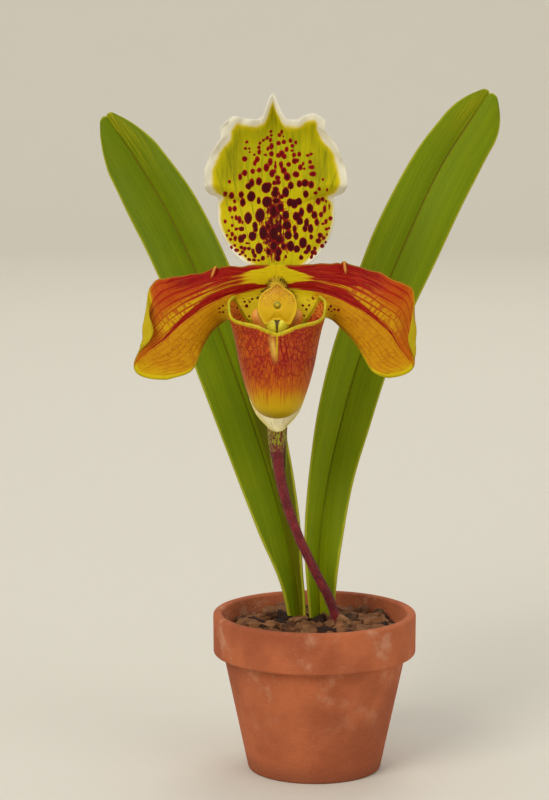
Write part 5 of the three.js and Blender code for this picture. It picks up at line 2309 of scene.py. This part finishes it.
@dataclass
class Pouch:
    """Hollow slipper with a V notch in front, raised ears and a rounded lip.

    Its rows hold a height, the half width, the half depth and the middle's place there. The
    mouth's rows hold an angle from the front and the height of the rim, the net's a height and
    how tall its cells are there.
    """

    rows: Rows = (
        (153.5, 1.6, 1.2, -44.4), (154.3, 4.6, 3.4, -44.4),
        (156.9, 8.2, 6.8, -44.2), (161.4, 10.8, 9.7, -43.5),
        (167.5, 12.9, 11.7, -42.7), (175.2, 14.9, 13, -41.8),
        (182, 16.2, 13.7, -40.8), (189, 17.8, 14.1, -39.8),
        (193.8, 19.1, 14.2, -39.3), (198.5, 19.4, 14.2, -39.1), (201, 17.4, 14, -39),
    )
    mouth: Rows = (
        (0, 187.4), (8, 188.3), (30, 190.8), (60, 191.9),
        (80, 193.6), (92, 198.2), (105, 200.4), (118, 199.2),
        (130, 194.8), (142, 189.6), (156, 188.4), (166, 191), (174, 197.6), (180, 199),
    )
    wall: float = 1.0
    toe: float = 153.5
    dent_depth: float = 1.3
    dent_degrees: float = 9.0
    lip: float = 0.46
    middle: Triple = (-15.6, -41.0, 178.0)
    crowding: float = 1.35
    net_cell: float = 2.7
    net_heights: Rows = ((150, 11), (168, 9), (178, 5), (186, 3.4), (205, 3))
    around: int = 180
    along: int = 110
    lip_steps: int = 400

    def point(self, degrees: Array, height_share: Array, inset: float = 0) -> Array:
        """Find points on the pouch.

        Args:
            degrees: Angle from the front, positive to the right.
            height_share: Share of the height from the toe to the mouth.
            inset: How far inside the outer skin, in millimetres.

        Returns:
            One point for each pair.
        """
        top = steady(self.mouth, np.abs(degrees))[:, 0]
        low = self.toe + inset
        z = low + (top - low) * height_share
        width, depth, middle = steady(self.rows, z - inset * (1 - height_share)).T
        angle = np.radians(degrees)
        dent = self.dent_depth * hill(degrees, self.dent_degrees) * ease(176, 188, z)
        x = FLOWER.x + np.maximum(width - inset, 0.4) * np.sin(angle)
        y = middle - np.maximum(depth - inset, 0.4) * np.cos(angle) + dent
        return np.stack([x, y, z], axis=1)

    def skin(self, u: Array, v: Array) -> Array:
        """Find points on the skin, which ends in one point at the toe.

        Args:
            u: Share of the turn from the front, -1 to 1.
            v: Share of the height, before the rings crowd at the toe.

        Returns:
            One point for each pair.
        """
        points = self.point(180 * u, v**self.crowding)
        points[v == 0] = (FLOWER.x, self.rows[0][3], self.toe)
        return points

    def build(self) -> None:
        """Make the skin and the lip."""
        self.build_skin()
        self.build_lip()

    def build_skin(self) -> None:
        """Lay the skin, chart its net of veins and give it its wall."""
        pouch, u, _ = lay_grid("pouch_skin", self.around, self.along, self.skin)
        points = places_of(pouch) / MM
        height = points[:, 2]
        heights, cells = np.array(self.net_heights).T
        ladder = np.linspace(heights[0], heights[-1], 300)
        pace = 1 / np.interp(ladder, heights, cells)
        climb = np.concatenate([[0], np.cumsum((pace[1:] + pace[:-1]) / 2 * np.diff(ladder))])
        girth = math.pi * u * (4 + 0.72 * steady(self.rows, height)[:, 0])
        store_chart(pouch, "girth", 180 * u, height)
        store_chart(pouch, "net", girth / self.net_cell, np.interp(height, ladder, climb))
        rim = self.point(np.linspace(-180, 180, 900), np.ones(900))
        store_fields(pouch, lip=rim_distance(points, rim))
        weld(pouch)
        turn_towards(pouch, face_rows(pouch, "center") - np.array(self.middle) * MM)
        outside = PouchFinish("pouch_outside", Face.FRONT).make()
        inside = PouchFinish("pouch_inside", Face.BACK).make()
        thicken(pouch, (outside, inside, outside), self.wall, inward=True)
        hand_over(pouch, "pouch_netted", "pouch")

    def build_lip(self) -> None:
        """Run a rounded lip along the mouth."""
        turns = np.linspace(-180, 180, self.lip_steps, endpoint=False)
        course = self.point(turns, np.ones(self.lip_steps), self.wall / 2)
        tangent = unit(np.roll(course, -1, axis=0) - np.roll(course, 1, axis=0))
        out = (course - np.array([FLOWER.x, -40, 0])) * np.array([1, 1, 0])
        out = unit(out - tangent * (out * tangent).sum(axis=1, keepdims=True))
        wide, tall = 1.05 * self.lip * out, 1.25 * self.lip * np.cross(tangent, out)

        def surface(u: Array, v: Array) -> Array:
            """Round the lip.

            Args:
                u: Share of the turn round the lip, -1 to 1.
                v: Share of the way along the mouth.

            Returns:
                One point for each pair.
            """
            place = np.round(v * self.lip_steps).astype(int) % self.lip_steps
            turn = math.pi * u[:, None]
            return course[place] + np.cos(turn) * wide[place] + np.sin(turn) * tall[place]

        lip = lay_grid("pouch_lip", 12, self.lip_steps, surface)[0]
        weld(lip)
        hand_over(lip, "pouch_netted", finish=LIP.make())


def lay_ball(
    name: str, middle: Sequence[float], size: Sequence[float], shape: Callable[[Array], Array]
) -> tuple[Mesh, Array]:
    """Add a rounded body that is shaped from a ball.

    Args:
        name: Name of the piece.
        middle: Its middle in millimetres.
        size: Its half sizes.
        shape: Moves the points of a unit ball.

    Returns:
        The piece, and its points on the unit ball.
    """
    clear_choice()
    bpy.ops.mesh.primitive_uv_sphere_add(segments=40, ring_count=28, radius=1)
    body = bpy.context.object
    body.name = body.data.name = name
    ball = places_of(body)
    set_places(body, (shape(ball) * np.array(size) + np.array(middle)) * MM)
    bpy.ops.object.shade_smooth()
    return body, ball


@dataclass
class Column:
    """Column with two peach anthers and the forked stigma; x counts from the flower's middle."""

    trunk: Rows = ((0, -22.6, 203.4), (0, -28, 203.1), (0, -34, 201.6), (0, -40.6, 199.4))
    anther: Triple = (5.9, -37.0, 190.9)
    anther_size: Triple = (3.8, 3.0, 5.2)
    arm: Rows = ((2, -32, 201.4), (5.2, -34.4, 198.6))
    stigma: Triple = (0.0, -41.0, 190.0)
    stigma_size: Triple = (5.0, 2.2, 4.0)
    stalk: Rows = ((0, -34, 200.9), (0, -37.2, 196.4), (0, -38.8, 191.4))
    slit: float = 0.06
    trunk_radius: float = 3.9
    rod_radius: float = 1.9

    def course(self, rows: Rows, side: float = 1) -> Line:
        """Run a line through points, mirrored for the left side."""
        return Line([(FLOWER.x + side * x, y, z) for x, y, z in rows])

    def build(self) -> None:
        """Make the trunk, the anthers and the stigma."""
        course = self.course(self.trunk)
        wrap = around(course, lambda angle, v: self.trunk_radius - 0.9 * v + 0.15 * np.cos(3 * angle))
        trunk = lay_tube("column_trunk", 36, 40, wrap)
        hand_over(trunk, "column_peach", "column", finish=TRUNK.make())
        peach = ANTHER.make()
        self.build_anther(-1, "left", peach)
        self.build_anther(1, "right", peach)
        self.build_stigma()

    def build_anther(self, side: float, word: str, finish: Material) -> None:
        """Make one anther and the arm that it hangs from.

        Args:
            side: -1 for the left one, 1 for the right one.
            word: Word for the side.
            finish: Its finish.
        """

        def shape(ball: Array) -> Array:
            """Taper the body downwards, lean it in and groove its face.

            Args:
                ball: Points of a unit ball.

            Returns:
                The moved points.
            """
            x, y, z = ball.T
            groove = 0.16 * hill(x, 0.18) * ease(0.2, 0.9, -y)
            return np.stack([x * (1 + 0.22 * z) + side * 0.28 * z, y + groove, z], axis=1)

        middle = (FLOWER.x + side * self.anther[0], *self.anther[1:])
        anther = lay_ball(f"anther_{word}", middle, self.anther_size, shape)[0]
        hand_over(anther, "column_peach", finish=finish)
        course = self.course((*self.arm, self.anther), side)
        wrap = around(course, lambda angle, v: self.rod_radius - 0.4 * v)
        arm = lay_tube(f"anther_arm_{word}", 16, 14, wrap)
        hand_over(arm, "column_peach", finish=finish)

    def build_stigma(self) -> None:
        """Make the stigma with its slit, and the stalk that it hangs from."""

        def shape(ball: Array) -> Array:
            """Narrow the shield downwards and cut the slit.

            Args:
                ball: Points of a unit ball.

            Returns:
                The moved points.
            """
            x, y, z = ball.T
            slit = hill(x, self.slit + 0.13 * np.clip(z + 0.6, 0, 1.5)) * ease(0.2, 0.6, -y)
            return np.stack([x * (1 + 0.25 * z), y + 0.5 * slit, z], axis=1)

        middle = (FLOWER.x + self.stigma[0], *self.stigma[1:])
        stigma, ball = lay_ball("stigma_shield", middle, self.stigma_size, shape)
        width = self.slit + 0.14 * np.clip(ball[:, 2] + 0.6, 0, 1.5)
        # The slit field marks where painted shade darkens the slit.
        store_fields(stigma, slit=hill(ball[:, 0], width) * (ball[:, 1] < 0))
        finish = StigmaFinish().make()
        hand_over(stigma, "column_peach", finish=finish)
        wrap = around(self.course(self.stalk), lambda angle, v: self.rod_radius + 0 * v)
        stalk = lay_tube("stigma_stalk", 16, 14, wrap)
        store_fields(stalk, slit=np.zeros(len(stalk.data.vertices)))
        hand_over(stalk, "column_peach", finish=finish)


@dataclass
class Staminode:
    """Domed yellow shield with a boss, a notched foot and a beak.

    Its outline's rows hold an angle from the top and the reach there.
    """

    place: Triple = (-15.5, -42.2, 198.0)
    thickness: float = 1.1
    dome: float = 1.3
    boss: float = 0.8
    boss_radius: float = 0.806
    front_share: float = 0.7
    outline: Rows = (
        (0, 9.2), (12, 8), (24, 7.35), (40, 7.4), (58, 7.65), (90, 7.8), (116, 8.2),
        (135, 8.7), (147, 9.4), (154, 8.8), (160, 6.9), (168, 6.1), (180, 6.2),
    )
    whiskers: int = 150
    shoulder_hairs: int = 110
    hair_radius: float = 0.075
    hair_droop: float = 0.1
    seed: int = 3

    def surface(self, u: Array, v: Array) -> Array:
        """Run from the boss over the dome to the rim, and back behind it.

        Args:
            u: Share of the turn from the top, -1 to 1.
            v: Share of the way.

        Returns:
            One point for each pair.
        """
        x, y, z = self.place
        turned_back = np.clip((v - self.front_share) / (1 - self.front_share), 0, 1) ** 1.5
        share = np.clip(np.where(v < self.front_share, self.edge(v), 1 - turned_back), 0, 1)
        distance = share * steady(self.outline, np.abs(180 * u))[:, 0]
        dome = self.dome * (1 - share**2)
        boss = self.boss * hill(distance, self.boss_radius) - 0.3 * hill(distance - 1.7, 0.45)
        lip = 0.45 * ease(0.8, 0.97, share) * ease(1, 0.985, share)
        back = self.thickness * ease(1, 0.8, share)
        lift = dome + np.where(v <= self.front_share, boss + lip, -back)
        up = distance * np.cos(math.pi * u)
        beak = 0.9 * ease(6, 9.2, up)
        return np.stack([x + distance * np.sin(math.pi * u), y - lift - beak, z + up], axis=1)

    def edge(self, v: Array) -> Array:
        """Measure how near the rim a place is; 1 on the rim and all over the back."""
        return np.minimum(v / self.front_share, 1) ** 0.8

    def build(self) -> None:
        """Make the shield, with its front and back in one skin, and its whiskers."""
        shield, _, v = lay_grid("staminode_shield", 96, 60, self.surface)
        points = places_of(shield) / MM
        store_chart(shield, "shield", points[:, 0] - self.place[0], points[:, 2] - self.place[2])
        store_fields(shield, edge=self.edge(v))
        weld(shield)
        hand_over(shield, "staminode_yellow", "staminode", finish=ShieldFinish().make())
        self.build_hairs()

    def build_hairs(self) -> None:
        """Grow the dark whiskers beside the column, and shorter ones on the shield's shoulders."""
        random = np.random.default_rng(self.seed)
        x, y, z = self.place

        def fan(turn: Array, reach: Array, depth: Array, high: float) -> Array:
            """Place points round a middle.

            Args:
                turn: Angle from the top.
                reach: Distance from the middle.
                depth: Place from front to back.
                high: Height of the middle.

            Returns:
                One point for each angle.
            """
            return np.stack([reach * np.sin(turn), depth + 0 * turn, high + reach * np.cos(turn)], axis=1)

        count = self.whiskers
        side = np.where(random.random(count) < 0.5, -1, 1)
        turn = np.radians(random.normal(38, 26, count)) * side
        reach = random.uniform(2.2, 3.6, count)
        roots = fan(turn, reach, random.uniform(-31, -25, count), 203.2)
        lean = fan(turn, 1, -0.45, 0) * np.array([1, 1, 0.9])
        lean = lean + random.normal(0, 0.22, lean.shape)
        lengths = random.uniform(1.6, 3.4, count)
        count = self.shoulder_hairs
        side = np.where(random.random(count) < 0.68, -1, 1)
        degrees = random.uniform(24, 74, count)
        turn = np.radians(degrees) * side
        rooted = fan(turn, steady(self.outline, degrees)[:, 0] - 0.25, y + 0.35, z)
        out = fan(turn, 1, -0.1, 0)
        out = out + random.normal(0, 0.2, out.shape)
        short = random.uniform(0.9, 2, count)
        roots = np.vstack([roots, rooted]) + np.array([x, 0, 0])
        leans = np.vstack([lean, out])
        lengths = np.concatenate([lengths, short])
        hairs = add_hairs("column_whiskers", roots, leans, lengths, self.hair_radius, self.hair_droop)
        hand_over(hairs, "staminode_yellow", finish=WHISKER.make())


# The studio


@dataclass
class Studio:
    """Pale floor that sweeps up all round the plant, and soft light; sizes are in metres."""

    sky: float = 0.66
    floor_radius: float = 2.8
    bend_radius: float = 1.2
    top: float = 3.0
    backdrop: Triple = (0.0, 3.7, 0.6)

    def build(self) -> None:
        """Lay the sweep and hang the lights."""
        self.lay_sweep()
        self.hang("key_light", (-1.6, -2.2, 2.1), size=1.6, power=56, colour=(1, 0.98, 0.94))
        self.hang("fill_light", (2.2, -1.8, 1), size=1.8, power=15, colour=(0.98, 0.99, 1))
        self.hang("rear_light", (0.4, 1.3, 2.3), size=1.2, power=12, colour=(1, 1, 1))
        self.hang("paper_light", (0, 2, 2.2), size=2, power=9, colour=(1, 0.97, 0.92), target=self.backdrop)
        world = bpy.data.worlds.new("studio_air")
        bpy.context.scene.world = world
        world.use_nodes = True
        background = world.node_tree.nodes["Background"]
        background.inputs["Color"].default_value = (0.92, 0.95, 1, 1)
        background.inputs["Strength"].default_value = self.sky
        bpy.context.scene.view_settings.view_transform = "Standard"

    def surface(self, u: Array, v: Array) -> Array:
        """Run out along the floor, round the bend and up the wall.

        Args:
            u: Share of the turn, -1 to 1.
            v: Share of the way out and up.

        Returns:
            One point for each pair, in millimetres.
        """
        bend = np.clip((v - 0.4) / 0.4, 0, 1) * math.pi / 2
        radius = self.floor_radius * np.minimum(v / 0.4, 1) + self.bend_radius * np.sin(bend)
        wall = (self.top - self.bend_radius) * np.clip((v - 0.8) / 0.2, 0, 1)
        return spun(radius, u, self.bend_radius * (1 - np.cos(bend)) + wall) / MM

    def lay_sweep(self) -> None:
        """Lay the round floor and curve its edge up."""
        sweep = lay_grid("paper_sweep", 96, 50, self.surface)[0]
        weld(sweep)
        turn_towards(sweep, (0, 0, 1))
        dress(sweep, PaperFinish().make())

    def hang(
        self,
        name: str,
        place: Triple,
        size: float,
        power: float,
        colour: Triple,
        target: Triple = (-0.016, -0.02, 0.17),
    ) -> None:
        """Hang a soft light.

        Args:
            name: Name of the light.
            place: Its place in metres.
            size: Its width in metres.
            power: Its power in watts.
            colour: Its colour.
            target: What it looks at, the plant when nothing else is given.
        """
        aim = np.array(target) - np.array(place)
        level = math.hypot(aim[0], aim[1])
        turn = (math.atan2(level, -aim[2]), 0, math.atan2(aim[1], aim[0]) - math.pi / 2)
        bpy.ops.object.light_add(type="AREA", location=place, rotation=turn)
        light = bpy.context.object
        light.name = name
        light.data.size = size
        light.data.energy = power
        light.data.color = colour


def main() -> None:
    """Build the plant from the pot up, and report each piece."""
    logging.basicConfig(level=logging.INFO, format="%(name)s: %(message)s")
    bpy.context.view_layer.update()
    VIEW.add_camera()
    Studio().build()
    pot = ClayPot()
    pot.build()
    BarkBed(pot).build()
    dress(bpy.data.objects["crown_and_roots"], ROOT.make())
    # Each leaf has its own pair of greens; the right leaf's are brighter, painted light that lifts the
    # shade falling on it.
    StrapLeaf("leaf_left", LEFT_LEAF, (-1, 0.62, 0.9), 1, ("6e8000", "607202")).build()
    StrapLeaf("leaf_right", RIGHT_LEAF, (0.15, 0.65, 0.3), -1, ("7a8c02", "6c7e03")).build()
    FlowerStem().build()
    DorsalSepal().build()
    Synsepal().build()
    Petal("petal_left", LEFT_PETAL, -1, LEFT_DOTS, (0.265, 0.1), *LEFT_BANDS, 0.8).build()
    Petal("petal_right", RIGHT_PETAL, 1, RIGHT_DOTS, (0.29, 0.08), *RIGHT_BANDS, 0.4).build()
    Pouch().build()
    Column().build()
    Staminode().build()


if __name__ == "__main__":
    main()
